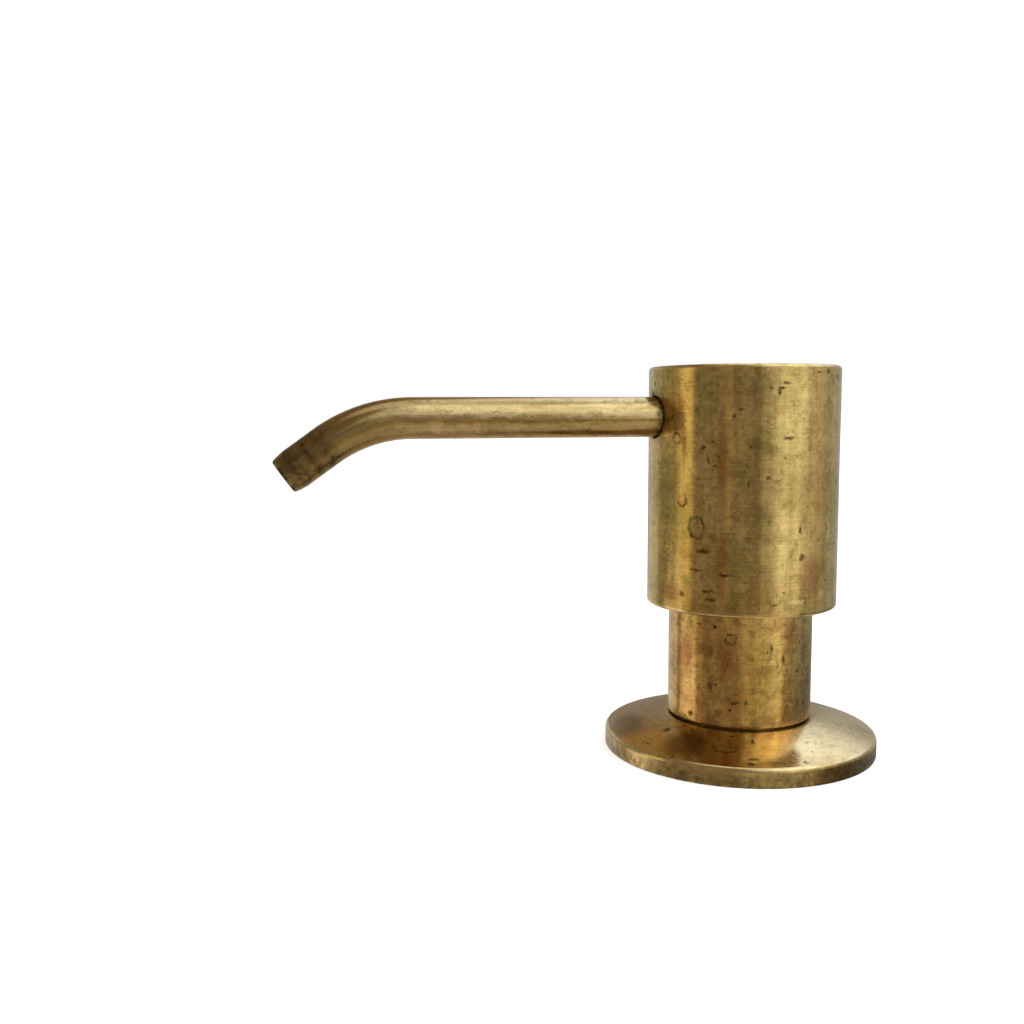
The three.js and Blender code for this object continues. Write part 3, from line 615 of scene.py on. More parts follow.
def coil_tree(name, is_wire):
    """A Geometry Nodes tree that winds a wire, or a screw thread, and joins it to a given mesh.

    The thread's depth stands outward from its radius, and it fades out at both ends."""
    tree = bpy.data.node_groups.new(name, "GeometryNodeTree")
    sockets = tree.interface
    sockets.new_socket("Geometry", in_out="INPUT", socket_type="NodeSocketGeometry")
    sockets.new_socket("Steps", in_out="INPUT", socket_type="NodeSocketInt")
    sockets.new_socket("Material", in_out="INPUT", socket_type="NodeSocketMaterial")
    for label in ("Turns", "Radius", "Start", "Rise", "End rise", "Depth", "Width", "Crest",
                  "Run-out"):
        sockets.new_socket(label, in_out="INPUT", socket_type="NodeSocketFloat")
    sockets.new_socket("Geometry", in_out="OUTPUT", socket_type="NodeSocketGeometry")
    size = add(tree, "NodeGroupInput").outputs

    # The path: it rises by the end rise over its first and last turn, and evenly between them.
    line = add(tree, "GeometryNodeCurvePrimitiveLine", [(0, 0, 0), (0, 0, 1)])
    line = add(tree, "GeometryNodeResampleCurve", {"Curve": line, "Count": size["Steps"]})
    share = add(tree, "GeometryNodeSplineParameter").outputs["Factor"]
    turned = add(tree, "ShaderNodeMath", [share, size["Turns"]], operation="MULTIPLY")
    angle = add(tree, "ShaderNodeMath", [turned, 2 * math.pi], operation="MULTIPLY")
    x = add(tree, "ShaderNodeMath", [angle], operation="COSINE")
    x = add(tree, "ShaderNodeMath", [x, size["Radius"]], operation="MULTIPLY")
    y = add(tree, "ShaderNodeMath", [angle], operation="SINE")
    y = add(tree, "ShaderNodeMath", [y, size["Radius"]], operation="MULTIPLY")
    left = add(tree, "ShaderNodeMath", [size["Turns"], turned], operation="SUBTRACT")
    middle = add(tree, "ShaderNodeMath", [size["End rise"], -2.0, size["Rise"]],
                 operation="MULTIPLY_ADD")
    before_last = add(tree, "ShaderNodeMath", [size["Turns"], 1.0], operation="SUBTRACT")
    z = add(tree, "ShaderNodeMapRange", [turned, 0.0, 1.0, size["Start"]])
    foot = add(tree, "ShaderNodeMath", [size["Start"], size["End rise"]], operation="ADD")
    tree.links.new(foot.outputs[0], z.inputs["To Max"])
    for part in (add(tree, "ShaderNodeMapRange", [turned, 1.0, before_last, 0.0, middle]),
                 add(tree, "ShaderNodeMapRange", [left, 1.0, 0.0, 0.0, size["End rise"]])):
        z = add(tree, "ShaderNodeMath", [z, part], operation="ADD")
    place = add(tree, "ShaderNodeCombineXYZ", [x, y, z])
    path = add(tree, "GeometryNodeSetPosition", {"Geometry": line, "Position": place})
    path = add(tree, "GeometryNodeSetCurveNormal", {"Curve": path}, mode="Z_UP")

    if is_wire:
        profile = add(tree, "GeometryNodeCurvePrimitiveCircle",
                      {"Resolution": 16, "Radius": size["Depth"]})
    else:
        profile = add(tree, "GeometryNodeCurvePrimitiveQuadrilateral",
                      {"Height": size["Depth"], "Bottom Width": size["Width"],
                       "Top Width": size["Crest"], "Offset": 0.0}, mode="TRAPEZOID")
        own = add(tree, "GeometryNodeInputPosition")
        across, up, _ = add(tree, "ShaderNodeSeparateXYZ", [own]).outputs
        outward = add(tree, "ShaderNodeMath", [size["Depth"], 0.5, up], operation="MULTIPLY_ADD")
        swapped = add(tree, "ShaderNodeCombineXYZ", [outward, across, 0.0])
        profile = add(tree, "GeometryNodeSetPosition", {"Geometry": profile, "Position": swapped})
    to_end = add(tree, "ShaderNodeMath", [turned, left], operation="MINIMUM")
    full = add(tree, "ShaderNodeMapRange", [to_end, 0.0, size["Run-out"], 0.05, 1.0])
    swept = add(tree, "GeometryNodeCurveToMesh",
                {"Curve": path, "Profile Curve": profile, "Scale": full, "Fill Caps": True})
    joined = add(tree, "GeometryNodeJoinGeometry")
    tree.links.new(size["Geometry"], joined.inputs[0])
    tree.links.new(swept.outputs[0], joined.inputs[0])
    real = add(tree, "GeometryNodeRealizeInstances", {"Geometry": joined})
    done = add(tree, "GeometryNodeSetMaterial", {"Geometry": real, "Material": size["Material"]})
    add(tree, "NodeGroupOutput", {"Geometry": done})
    return tree


def wound(tree, mesh, sizes):
    """The plain mesh that a coil tree makes from a mesh and its sizes."""
    holder = bpy.data.objects.new("holder", mesh)
    bpy.context.scene.collection.objects.link(holder)
    modifier = holder.modifiers.new("coil", "NODES")
    modifier.node_group = tree
    for socket in tree.interface.items_tree:
        if socket.in_out == "INPUT" and socket.name in sizes:
            modifier[socket.identifier] = sizes[socket.name]
    ready = holder.evaluated_get(bpy.context.evaluated_depsgraph_get())
    made = bpy.data.meshes.new_from_object(ready)
    bpy.data.objects.remove(holder)
    return made


def new_piece(name, points, faces, material, body, nodes, worn_and_glint=(), grime_and_shade=(), unbent=None,
              coil=None, sharp=40):
    """A piece from points in millimetres, smooth, facing outward, riding on its body."""
    mesh = bpy.data.meshes.new(name)
    mesh.from_pydata([tuple(c * MM for c in p) for p in points], [], faces)
    if coil:
        tree, sizes = coil
        mesh = wound(tree, mesh, {**sizes, "Material": material})
        mesh.name = name
        mesh.materials.clear()
    shaped = bmesh.new()
    shaped.from_mesh(mesh)
    bmesh.ops.recalc_face_normals(shaped, faces=shaped.faces)
    shaped.to_mesh(mesh)
    shaped.free()
    mesh.polygons.foreach_set("use_smooth", [True] * len(mesh.polygons))
    mesh.set_sharp_from_angle(angle=math.radians(sharp))
    places = [(math.hypot(p[0], p[1]), p[2]) for p in (unbent or points)]
    for label, rings in (("worn_and_glint", worn_and_glint), ("grime_and_shade", grime_and_shade)):
        if rings:
            values = ring_values(places, rings)
            mesh.attributes.new(label, "FLOAT", "POINT").data.foreach_set("value", values)
    if unbent:
        flat = [c for p in unbent for c in p]
        mesh.attributes.new("unbent", "FLOAT_VECTOR", "POINT").data.foreach_set("vector", flat)
    mesh.materials.append(material)
    piece = bpy.data.objects.new(name, mesh)
    bpy.context.scene.collection.objects.link(piece)
    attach(piece, body)
    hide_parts(*nodes)
    return piece


def turned_copy(node, material, body, ease=0.3, sides=96):
    """A turned CAD node made again from its own outline, finely stepped and with eased edges."""
    points, faces = revolve(eased(section(node), ease), sides)
    return new_piece(node + "_turned", points, faces, material, body, [node])


# ---- Head -------------------------------------------------------------------------------------
def head_shell():
    """The press head: a turned cup with a round hole in its wall for the spout."""
    sides, half = 192, 12
    reach = 7.2
    window = [SPOUT_Z - reach + 2 * reach * i / 12 for i in range(13)]
    lower = [HEAD_BOTTOM + step for step in (0.9, 1.3, 2.0, 3.0, 4.5)]
    lower += [HEAD_BOTTOM + 4.5 + (window[0] - HEAD_BOTTOM - 4.5) * i / 12 for i in range(1, 12)]
    outer = [(HEAD_R, z) for z in lower + window + [75.9, 76.5, 77.0]]
    inner = [(HEAD_BORE_R, z) for z in reversed([HEAD_BOTTOM + 0.6, 31.5, 40.0, 50.0] + window)]
    outline = [(0.0, HEAD_ROOF), (7.0, HEAD_ROOF), (HEAD_BORE_R - 0.3, HEAD_ROOF)]
    outline += [(HEAD_BORE_R, HEAD_ROOF - 0.3)] + inner
    outline += [(HEAD_BORE_R + 0.2, HEAD_BOTTOM + 0.2), (HEAD_BORE_R + 0.5, HEAD_BOTTOM)]
    outline += [(HEAD_BORE_R + 0.8, HEAD_BOTTOM), (HEAD_R - 0.75, HEAD_BOTTOM)]
    outline += arc(HEAD_R - 0.6, HEAD_BOTTOM + 0.6, 0.6, -90, 0, 6) + outer
    outline += arc(HEAD_R - 0.8, HEAD_TOP - 0.8, 0.8, 0, 90, 8)
    outline += [(HEAD_R - 1.0, HEAD_TOP), (HEAD_R - 2.0, HEAD_TOP), (12.0, HEAD_TOP)]
    outline += [(6.0, HEAD_TOP), (0.0, HEAD_TOP)]
    points, faces = revolve(outline, sides)
    starts = []
    count = 0
    for r, _ in outline:
        starts.append(count)
        count += 1 if r < 1e-6 else sides

    def opened(wall_r):
        rows = [i for i, (r, z) in enumerate(outline) if r == wall_r and z in window]
        rows.sort(key=lambda i: outline[i][1])
        around = [(k, 0) for k in range(-half, half + 1)]
        around += [(half, j) for j in range(1, 13)]
        around += [(k, 12) for k in range(half - 1, -half - 1, -1)]
        around += [(-half, j) for j in range(11, 0, -1)]
        edge = [starts[rows[j]] + k % sides for k, j in around]
        dropped = set()
        for j in range(13):
            dropped.update(starts[rows[j]] + k % sides for k in range(-half, half + 1))
        return edge, dropped

    outer_edge, outer_drop = opened(HEAD_R)
    inner_edge, inner_drop = opened(HEAD_BORE_R)
    faces = [f for f in faces if not (set(f) <= outer_drop or set(f) <= inner_drop)]
    angles = [math.atan2(points[i][2] - SPOUT_Z, points[i][1]) for i in outer_edge]

    def loop(wall_r, spread, depth, edge):
        """A loop of points on a wall: on the hole's rim at spread 0, on the window's edge at 1."""
        first = len(points)
        for a, i in zip(angles, edge):
            y = spread[0] * math.cos(a)
            z = SPOUT_Z + spread[0] * math.sin(a)
            y += (points[i][1] - y) * spread[1]
            z += (points[i][2] - z) * spread[1]
            points.append((depth - math.sqrt(wall_r ** 2 - y ** 2), y, z))
        return [first + i for i in range(len(edge))]

    lip = 0.25
    rims = [outer_edge]
    rims += [loop(HEAD_R, (SPOUT_HOLE_R + lip, t), 0.0, outer_edge) for t in (0.7, 0.42, 0.18, 0.05)]
    for turn in (0, 30, 60, 90):
        out = lip * (1 - math.sin(math.radians(turn)))
        rims.append(loop(HEAD_R, (SPOUT_HOLE_R + out, 0), lip * (1 - math.cos(math.radians(turn))),
                         outer_edge))
    rims += [loop(HEAD_R, (SPOUT_HOLE_R, 0), 1.5, outer_edge)]
    rims += [loop(HEAD_BORE_R, (SPOUT_HOLE_R, 0), -0.1, outer_edge)]
    rims += [loop(HEAD_BORE_R, (SPOUT_HOLE_R, t), 0.0, inner_edge) for t in (0.02, 0.3, 0.65)]
    rims += [inner_edge]
    size = len(outer_edge)
    for one, other in zip(rims, rims[1:]):
        for i in range(size):
            n = (i + 1) % size
            faces.append([one[i], one[n], other[n], other[i]])
    used = sorted({i for f in faces for i in f})
    renumber = {old: new for new, old in enumerate(used)}
    points = [points[i] for i in used]
    faces = [[renumber[i] for i in f] for f in faces]
    piece = new_piece("head_turned", points, faces, aged_head, "head",
                      ["head_shell"],
                      # Bright bottom and top edges: partly wear and partly a painted highlight.
                      worn_and_glint=[(HEAD_R, HEAD_BOTTOM + 0.25, 0.45, 1.0),
                            (HEAD_R - 0.3, HEAD_TOP - 0.2, 0.5, 0.8)],
                      grime_and_shade=[(HEAD_BORE_R, z, 3.0, 1.0) for z in (30, 36, 42, 48)])
    # Painted shadow and tarnish round the spout's hole, reaching further above it. These values take
    # the place of those given for the bore above.
    values = []
    for x, y, z in points:
        off = math.hypot(y, z - SPOUT_Z)
        reach = 0.5 + 0.5 * max(0.0, (z - SPOUT_Z) / 4)
        near = math.exp(-((off - SPOUT_HOLE_R) / reach) ** 2)
        values.append(0.9 * near if x < -14 and off < 9 else 0.0)
    piece.data.attributes["grime_and_shade"].data.foreach_set("value", values)
    return piece


def spout_place(along, r, angle):
    """A point of the spout from its distance along the centre line, radius and angle."""
    bend_length = SPOUT_BEND_R * SPOUT_BEND
    past = along + SPOUT_START - SPOUT_BEND_START
    turn = min(max(past / SPOUT_BEND_R, 0.0), SPOUT_BEND)
    tip = max(past - bend_length, 0.0)
    x = -SPOUT_BEND_START - SPOUT_BEND_R * math.sin(turn) - tip * math.cos(turn) - min(past, 0.0)
    z = SPOUT_Z - SPOUT_BEND_R * (1 - math.cos(turn)) - tip * math.sin(turn)
    up, side = r * math.cos(angle), r * math.sin(angle)
    return (x - up * math.sin(turn), side, z + up * math.cos(turn))


def spout():
    """The spout: a drawn tube, bent once, with its end dressed to a slight nose."""
    sides = 96
    bend_end = SPOUT_BEND_START - SPOUT_START + SPOUT_BEND_R * SPOUT_BEND
    end = bend_end + SPOUT_TIP
    outside = [(0.3 + (end - 3.6) * i / 60, SPOUT_R) for i in range(61)]
    nose = [(end - 2.6, 3.97), (end - 1.9, 3.9), (end - 1.2, 3.8), (end - 0.6, 3.68),
            (end - 0.25, 3.56), (end - 0.08, 3.44), (end, 3.3), (end, 3.15), (end - 0.06, 3.0),
            (end - 0.25, 2.86), (end - 0.6, SPOUT_BORE_R)]
    inside = [(end - 1 - (end - 1.3) * i / 40, SPOUT_BORE_R) for i in range(41)]
    start = [(0.0, SPOUT_BORE_R + 0.3), (0.0, SPOUT_R - 0.3)]
    outline = outside + nose + inside + start
    points, unbent, faces = [], [], []
    for along, r in outline:
        for k in range(sides):
            a = 2 * math.pi * k / sides
            points.append(spout_place(along, r, a))
            unbent.append((r * math.cos(a), r * math.sin(a), along))
    rows = len(outline)
    for j in range(rows):
        for k in range(sides):
            n = (k + 1) % sides
            m = (j + 1) % rows
            faces.append([j * sides + k, j * sides + n, m * sides + n, m * sides + k])
    root = HEAD_R - SPOUT_START
    return new_piece("spout_drawn", points, faces, aged_spout, "head", ["spout"],
                     # The tip's outer edge is bright, partly wear and partly a painted highlight. The
                     # tip's bore, its end and its root by the head are dark, partly grime and partly
                     # painted shade.
                     worn_and_glint=[(3.6, end - 0.4, 0.3, 1.0)], unbent=unbent,
                     grime_and_shade=[(SPOUT_BORE_R, end - s, 2.0, 1.0) for s in (0, 3, 6, 9)]
                     + [(4, root - 0.3, 1.0, 0.8), (3.3, end, 1.3, 0.5)])


head_shell()
spout()
turned_copy("guide_sleeve", nylon, "head", 0.2, 128)


# ---- Fixed body -------------------------------------------------------------------------------
def flange():
    """The deck flange: a turned ring with a shallow domed top and a square rim."""
    slope = math.radians(FLANGE_SEAT_SLOPE)
    dome_r = FLANGE_SEAT_R - FLANGE_DOME_R * math.sin(slope)
    dome_z = FLANGE_TOP - FLANGE_DOME_R * math.cos(slope)
    groove_in, groove_out, depth = GASKET_GROOVE
    outline = [(THREAD_BORE_R, 0.4), (THREAD_BORE_R, 0.0), (groove_in - 0.1, 0.0)]
    outline += [(groove_in, 0.1), (groove_in, depth), (groove_out, depth)]
    outline += [(groove_out, 0.1), (groove_out + 0.1, 0.0), (FLANGE_R - 0.6, 0.0)]
    outline += arc(FLANGE_R - 0.4, 0.4, 0.4, -90, 0, 5)
    outline += [(FLANGE_R, z) for z in (0.7, 1.2, 1.8, 2.4, 2.8)]
    outline += arc(FLANGE_R - 1, 3.0, 1.0, 0, 66, 8)
    outline += arc(dome_r, dome_z, FLANGE_DOME_R, 69.0, 90.0 - FLANGE_SEAT_SLOPE, 26)[1:]
    outline += [(FLANGE_SEAT_R - 0.1, FLANGE_TOP), (THREAD_BORE_R + 0.1, FLANGE_TOP)]
    outline += [(THREAD_BORE_R, FLANGE_TOP - 0.1)]
    points, faces = revolve(outline, 256)
    return new_piece("flange_turned", points, faces, aged_flange, "fixed_body",
                     # The rim's top edge is bright, partly wear and partly a painted highlight. The
                     # dark at the collar's seat is a painted shadow under the collar; the dark round
                     # the rim's foot is partly grime and partly painted shade.
                     ["flange"], worn_and_glint=[(FLANGE_R - 0.35, 3.75, 0.35, 1.0)],
                     grime_and_shade=[(14.9, 7.0, 0.25, 0.5), (FLANGE_R, 0.0, 0.5, 1.0),
                            (FLANGE_R + 0.3, 1.3, 1.6, 0.6)])


def collar():
    """The fixed collar that the head slides over."""
    outline = [(COLLAR_BORE_R, 7.6), (COLLAR_BORE_R + 0.1, 7.4), (COLLAR_BORE_R + 0.3, COLLAR_BOTTOM)]
    outline += [(COLLAR_R - 0.4, COLLAR_BOTTOM)]
    outline += arc(COLLAR_R - 0.3, COLLAR_BOTTOM + 0.3, 0.3, -90, 0, 4) + [(COLLAR_R, 7.9)]
    outline += [(COLLAR_R, 8.6 + 1.6 * i) for i in range(20)] + [(COLLAR_R, COLLAR_TOP - 0.8)]
    outline += arc(COLLAR_R - 0.5, COLLAR_TOP - 0.5, 0.5, 0, 90, 5)
    outline += [(COLLAR_BORE_R + 0.6, COLLAR_TOP), (COLLAR_BORE_R + 0.4, COLLAR_TOP)]
    outline += [(COLLAR_BORE_R, COLLAR_TOP - 0.4), (COLLAR_BORE_R, 25.0)]
    points, faces = revolve(outline, 192)
    return new_piece("collar_turned", points, faces, aged_collar, "fixed_body",
                     # Dark at the foot, partly grime and partly a painted shadow; bright at the top
                     # edge, partly wear and partly a painted highlight.
                     ["collar"], grime_and_shade=[(COLLAR_R, COLLAR_BOTTOM, 0.3, 0.6)],
                     worn_and_glint=[(COLLAR_R - 0.2, COLLAR_TOP - 0.1, 0.4, 1.0)])


flange()
collar()
for node, material, slot, ease, sides in (
    ("deck_gasket", rubber, "rubber", 0.3, 96),
    ("rubber_washer", rubber, "rubber", 0.4, 128),
    ("metal_washer", steel, "stainless", 0.25, 128),
    ("bottle_seal", rubber, "rubber", 0.3, 96),
):
    turned_copy(node, material, "fixed_body", ease, sides)


def shank():
    """The threaded shank: a brass tube with a screw thread cut over all but its plain top."""
    core_r = 11.7
    bore_r = 10.8
    thread_top = -1.0
    outline = [(bore_r, SHANK_BOTTOM + 0.4), (bore_r + 0.4, SHANK_BOTTOM)]
    outline += [(core_r - 0.2, SHANK_BOTTOM), (core_r, SHANK_BOTTOM + 0.3)]
    outline += [(core_r, SHANK_BOTTOM + 8 * i) for i in range(1, 8)]
    outline += [(core_r, thread_top), (SHANK_R - 0.1, thread_top + 1.0)]
    outline += [(SHANK_R, thread_top + 1.2), (SHANK_R, 10.0), (SHANK_R, 21.6)]
    outline += [(SHANK_R - 0.4, 22.0), (bore_r + 0.3, 22.0), (bore_r, 21.7), (bore_r, -20.0)]
    rise = THREAD_TURNS * THREAD_PITCH
    sizes = {"Turns": float(THREAD_TURNS), "Steps": THREAD_TURNS * 64 + 1,
             "Radius": (core_r - 0.1) * MM, "Start": (SHANK_BOTTOM + 1.0) * MM,
             "Rise": rise * MM, "End rise": THREAD_PITCH * MM,
             "Width": 0.95 * THREAD_PITCH * MM, "Crest": 0.28 * MM,
             "Depth": (SHANK_R - core_r + 0.1) * MM, "Run-out": 0.5}
    points, faces = revolve(outline, 128)
    return new_piece("shank_threaded", points, faces, raw_brass, "fixed_body",
                     ["shank"], coil=(coil_tree("screw_thread", False), sizes), sharp=30)


def lock_nut():
    """The hexagon nut under the deck, with both faces chamfered as bought."""
    low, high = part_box("lock_nut")
    bottom, top = low.z / MM, high.z / MM
    face_r = NUT_FLATS / 2 - 0.4
    sides = 144
    points, faces = [], []
    for k in range(sides):
        degrees = 360 * k / sides
        a = math.radians(degrees)
        across = NUT_FLATS / 2 / math.cos(math.radians((degrees + 30) % 60 - 30))
        drop = (across - face_r) * math.tan(math.radians(30))
        outline = [(THREAD_BORE_R, bottom + 0.5), (THREAD_BORE_R + 0.5, bottom)]
        outline += [(face_r, bottom), (across, bottom + drop), (across, top - drop)]
        outline += [(face_r, top), (THREAD_BORE_R + 0.5, top), (THREAD_BORE_R, top - 0.5)]
        points += [(r * math.cos(a), r * math.sin(a), z) for r, z in outline]
    rows = 8
    for k in range(sides):
        n = (k + 1) % sides
        for j in range(rows):
            m = (j + 1) % rows
            faces.append([k * rows + j, n * rows + j, n * rows + m, k * rows + m])
    return new_piece("lock_nut_chamfered", points, faces, raw_brass, "fixed_body",
                     ["lock_nut"], sharp=20)


def bottle():
    """The blow-moulded bottle: its shoulder and foot swell and turn in soft rounds."""
    points, faces = revolve(eased(section("bottle"), 9.0, 10), 144)
    return new_piece("bottle_blown", points, faces, milky, "fixed_body",
                     ["bottle"], sharp=50)


shank()
lock_nut()
bottle()

# ---- Cartridge, plunger and valves -----------------------------------------------------------
for node, body, material, slot, ease in (
    ("pump_gasket", "cartridge", rubber, "rubber", 0.25),
    ("pump_cylinder", "cartridge", pump_white, "pump_plastic", 0.3),
    ("pump_cap", "cartridge", pump_white, "pump_plastic", 0.3),
    ("spring_seat", "cartridge", pump_white, "pump_plastic", 0.2),
    ("dip_tube", "cartridge", milky, "bottle_plastic", 0.15),
    ("stem", "plunger", pump_white, "pump_plastic", 0.2),
    ("piston", "plunger", pump_white, "pump_plastic", 0.2),
    ("piston_seal", "plunger", rubber, "rubber", 0.2),
    ("inlet_ball", "inlet_valve", steel, "stainless", 0.0),
    ("outlet_ball", "outlet_valve", steel, "stainless", 0.0),
):
    if "ball" in node:
        low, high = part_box(node)
        radius = (high.z - low.z) / 2 / MM
        middle = (high.z + low.z) / 2 / MM
        outline = [(0.0 if abs(r) < 1e-6 else r, z)
                   for r, z in arc(0.0, middle, radius, -90, 90, 24)]
        points, faces = revolve(outline, 48)
        new_piece(node + "_ground", points, faces, material, body, [node])
    else:
        turned_copy(node, material, body, ease, 64)


def spring():
    """The return spring, wound with a closed turn at each end."""
    low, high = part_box("return_spring")
    wire_r = SPRING_WIRE_R
    bottom, top = low.z / MM, high.z / MM
    sizes = {"Turns": float(SPRING_TURNS), "Steps": SPRING_TURNS * 48 + 1,
             "Radius": high.x - wire_r * MM, "Start": (bottom + wire_r) * MM,
             "Rise": (top - bottom - 2 * wire_r) * MM, "End rise": 2.1 * wire_r * MM,
             "Depth": wire_r * MM, "Run-out": 0.01}
    piece = new_piece("spring_wound", [], [], steel, "cartridge", ["return_spring"],
                      coil=(coil_tree("wire_coil", True), sizes), sharp=60)
    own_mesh(piece)
    return piece


def o_ring(node, along_x):
    """A rubber ring of round section, about Z or lying about the spout's own line."""
    low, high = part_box(node)
    thin = (high.x - low.x if along_x else high.z - low.z) / 2 / MM
    outer = (high.z - low.z if along_x else high.x - low.x) / 2 / MM
    middle = (low + high) / 2 / MM
    outline = arc(outer - thin, 0.0, thin, 0, 337.5, 15)
    points, faces = revolve(outline, 64)
    if along_x:
        points = [(z, x, y) for x, y, z in points]
    points = [(x + middle.x, y + middle.y, z + middle.z) for x, y, z in points]
    return new_piece(node + "_moulded", points, faces, rubber, "head", [node])


spring()
o_ring("stem_o_ring", False)
o_ring("spout_o_ring", True)
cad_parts["outlet_block"].data.materials.clear()
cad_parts["outlet_block"].data.materials.append(nylon)


# ---- Studio -----------------------------------------------------------------------------------
def floor():
    """A plain pale floor at deck height. It is one-sided, so the parts under it can be seen."""
    material, tree, shader = new_material("pale_floor")
    output = next(n for n in tree.nodes if n.type == "OUTPUT_MATERIAL")
    tree.nodes.remove(shader)
    paint = add(tree, "ShaderNodeBsdfDiffuse", {"Color": (0.8, 0.8, 0.8, 1)})
    glow = add(tree, "ShaderNodeEmission", {"Color": (1, 1, 1, 1), "Strength": 0.72})
    both = add(tree, "ShaderNodeAddShader", [paint, glow])
    clear = add(tree, "ShaderNodeBsdfTransparent")
    back = add(tree, "ShaderNodeNewGeometry").outputs["Backfacing"]
    sides = add(tree, "ShaderNodeMixShader", [back, both, clear])
    tree.links.new(sides.outputs[0], output.inputs["Surface"])
    mesh = bpy.data.meshes.new("floor")
    size = 4.0
    mesh.from_pydata([(-size, -size, 0), (size, -size, 0), (size, size, 0), (-size, size, 0)],
                     [], [(0, 1, 2, 3)])
    mesh.materials.append(material)
    plane = bpy.data.objects.new("floor", mesh)
    bpy.context.scene.collection.objects.link(plane)
    plane.visible_shadow = False
    plane.visible_glossy = False


CAMERA_TURN = -24.0   # the camera stands this many degrees round from the object's front
CAMERA_AWAY = 0.2232  # from the pump axis, in metres
CAMERA_HEIGHT = 0.0697
CAMERA_LENS = 37.65   # for a sensor 36 mm wide
BRIGHTEST = 2.0       # the brightest light card
CARD_EDGE = 6.0       # a card's soft edge, in degrees

# Tints of the light cards, as linear red, green and blue.
WHITE = (1.0, 1.02, 0.96)
COOL = (1.0, 1.1, 1.25)
CREAM = (1.0, 0.95, 0.86)
TAN = (1.0, 0.87, 0.72)
STRAW = (1.0, 0.92, 0.66)
GOLD = (1.0, 0.86, 0.50)
AMBER = (1.0, 0.77, 0.50)
BROWN = (1.0, 0.63, 0.23)


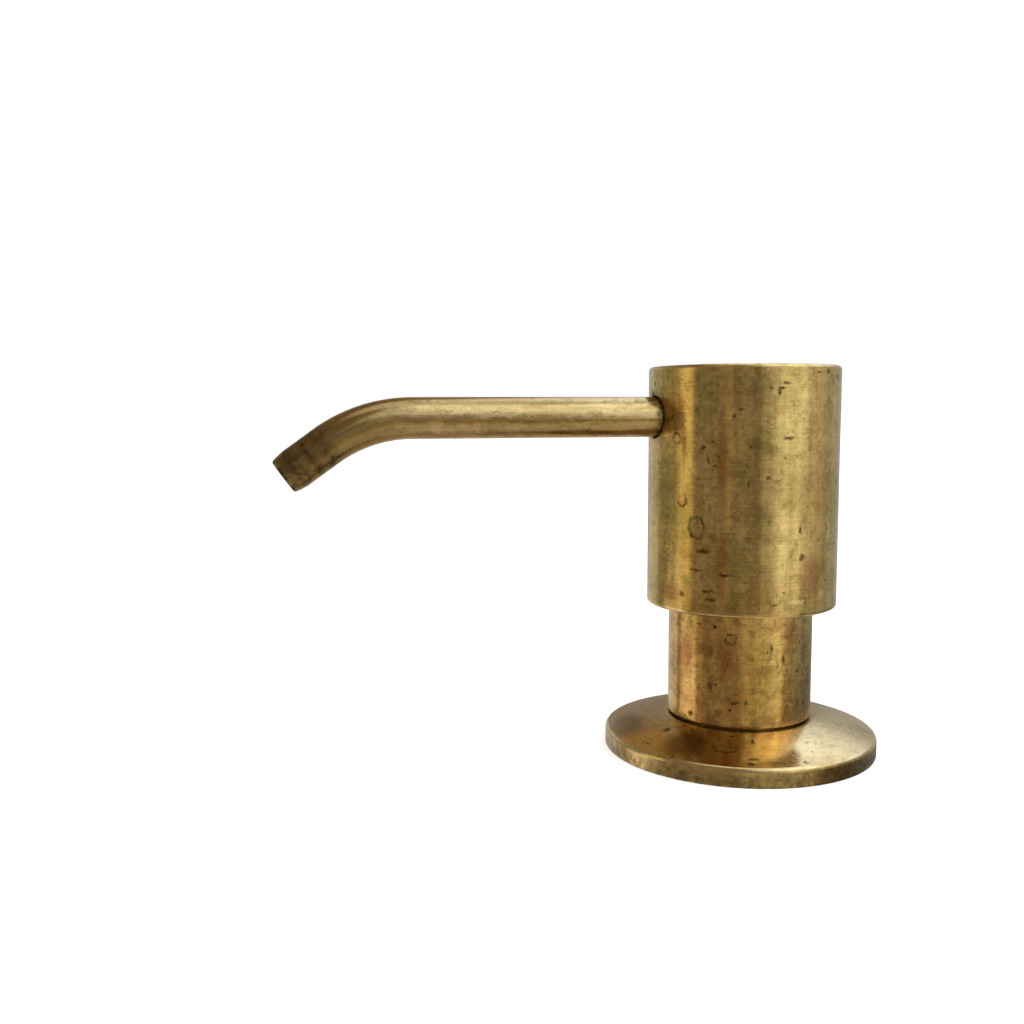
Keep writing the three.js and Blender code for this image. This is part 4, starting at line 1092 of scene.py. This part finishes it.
def studio_light():
    """Soft light cards all round, drawn by direction, with white behind the object."""
    world = bpy.data.worlds.new("studio")
    world.use_nodes = True
    bpy.context.scene.world = world
    tree = world.node_tree
    tree.nodes.clear()
    toward = add(tree, "ShaderNodeTexCoord").outputs["Generated"]
    x, y, z = add(tree, "ShaderNodeSeparateXYZ", [toward]).outputs
    back = add(tree, "ShaderNodeMath", [y, -1.0], operation="MULTIPLY")
    turn = add(tree, "ShaderNodeMath", [x, back], operation="ARCTAN2")
    turn = add(tree, "ShaderNodeMath", [turn, math.radians(-CAMERA_TURN)], operation="ADD")
    turn = add(tree, "ShaderNodeMath", [turn, 2 * math.pi, 0.0], operation="WRAP")
    turn.inputs[1].default_value = math.pi
    turn.inputs[2].default_value = -math.pi
    share = add(tree, "ShaderNodeMapRange", [turn, -math.pi, math.pi, 0.0, 1.0])

    def shade(bright, tint):
        """A tint at a brightness, as a share of the brightest card."""
        return (*[bright / BRIGHTEST * part for part in tint], 1.0)

    def cards(dim, placed):
        """One height of the dim room, with its cards: each from and to, in degrees right of the
        camera, then its brightness and tint. A card fades in and out over CARD_EDGE degrees."""
        starts = [card[0] for card in placed]
        ends = [card[1] for card in placed]
        stops = []
        for start, end, bright, tint in placed:
            lit = shade(bright, tint)
            if start > -180 and start not in ends:
                stops.append((start, dim))
            stops.append((max(start + CARD_EDGE, -180), lit))
            stops.append((min(end - CARD_EDGE, 180), lit))
            if end < 180 and end not in starts:
                stops.append((end, dim))
        stops = [((degrees + 180) / 360, light) for degrees, light in stops]
        return add(tree, "ShaderNodeValToRGB", [share], stops=stops)

    # At eye level: a gold lamp on the left, and two windows on the right.
    level = cards(shade(0.28, TAN), [
        (-165, -120, 0.6, WHITE), (-120, -80, 0.35, STRAW), (-80, -58, 1.1, GOLD),
        (-25, -10, 0.4, AMBER), (20, 40, 0.5, CREAM), (40, 56, 1.2, WHITE),
        (56, 85, 0.95, WHITE), (85, 110, 0.6, CREAM), (110, 175, 0.45, WHITE)])
    # Below it: what a worktop and the lower walls send back.
    low = cards(shade(0.3, AMBER), [
        (-180, -115, 0.7, CREAM), (-110, -70, 1.1, TAN), (0, 50, 0.5, GOLD),
        (50, 75, 0.8, STRAW), (90, 160, 0.22, WHITE), (165, 180, 0.9, CREAM)])
    # Above it: high windows on the right and behind, and a dark brown wall on the left.
    high = cards(shade(0.28, AMBER), [
        (-180, -170, 1.1, CREAM), (-168, -150, 0.35, BROWN), (10, 35, 0.8, WHITE),
        (35, 60, 1.4, WHITE), (60, 95, 1.8, WHITE), (95, 180, 1.25, COOL)])
    beneath = shade(0.55, TAN)
    above = shade(0.86, CREAM)
    room = beneath
    for start, end, band in ((-0.75, -0.45, low), (-0.21, -0.15, level), (0.24, 0.60, high),
                             (0.90, 0.98, above)):
        climb = add(tree, "ShaderNodeMapRange", [z, start, end, 0.0, 1.0],
                    interpolation_type="SMOOTHSTEP")
        room = add(tree, "ShaderNodeMix", [climb, room, band], data_type="RGBA")
    lit = add(tree, "ShaderNodeBackground", {"Color": room.outputs[2], "Strength": BRIGHTEST})
    plain = add(tree, "ShaderNodeBackground", {"Color": (1, 1, 1, 1), "Strength": 1.0})
    seen = add(tree, "ShaderNodeLightPath").outputs["Is Camera Ray"]
    both = add(tree, "ShaderNodeMixShader", [seen, lit, plain])
    add(tree, "ShaderNodeOutputWorld", {"Surface": both})


def fill_light():
    """Two soft panels low at the sides, for the plastic and rubber under the deck.

    They are hidden from glossy rays, so that polished metal does not mirror them."""
    for name, turn in (("fill_left", -70.0), ("fill_right", 110.0)):
        data = bpy.data.lights.new(name, "AREA")
        data.shape = "SQUARE"
        data.size = 0.5
        data.energy = 3.5   # watts
        panel = bpy.data.objects.new(name, data)
        bpy.context.scene.collection.objects.link(panel)
        a = math.radians(turn)
        spot = Vector((math.sin(a) * 0.7, -math.cos(a) * 0.7, -0.25))
        aim = Vector((0.0, 0.0, -0.11)) - spot
        facing = aim.to_track_quat("-Z", "Y").to_matrix().to_4x4()
        panel.matrix_world = Matrix.Translation(spot) @ facing
        panel.visible_camera = False
        panel.visible_glossy = False


def camera():
    """A normal lens a little above the head's middle, looking slightly down past the spout."""
    data = bpy.data.cameras.new("camera")
    data.lens = CAMERA_LENS
    data.sensor_width = 36.0
    data.clip_start = 0.01
    view = bpy.data.objects.new("camera", data)
    bpy.context.scene.collection.objects.link(view)
    bpy.context.scene.camera = view
    yaw = math.radians(-CAMERA_TURN) - 0.212
    pitch = 0.096
    roll = -0.003
    ahead = Vector((math.sin(yaw) * math.cos(pitch), math.cos(yaw) * math.cos(pitch),
                    -math.sin(pitch)))
    right = Vector((math.cos(yaw), -math.sin(yaw), 0.0))
    up = right.cross(ahead)
    across = right * math.cos(roll) + up * math.sin(roll)
    over = up * math.cos(roll) - right * math.sin(roll)
    turned = Matrix((across, over, -ahead)).transposed().to_4x4()
    round_by = math.radians(CAMERA_TURN)
    spot = Vector((math.sin(round_by) * CAMERA_AWAY, -math.cos(round_by) * CAMERA_AWAY,
                   CAMERA_HEIGHT))
    view.matrix_world = Matrix.Translation(spot) @ turned


floor()
studio_light()
fill_light()
camera()
bpy.context.scene.view_settings.view_transform = "Standard"
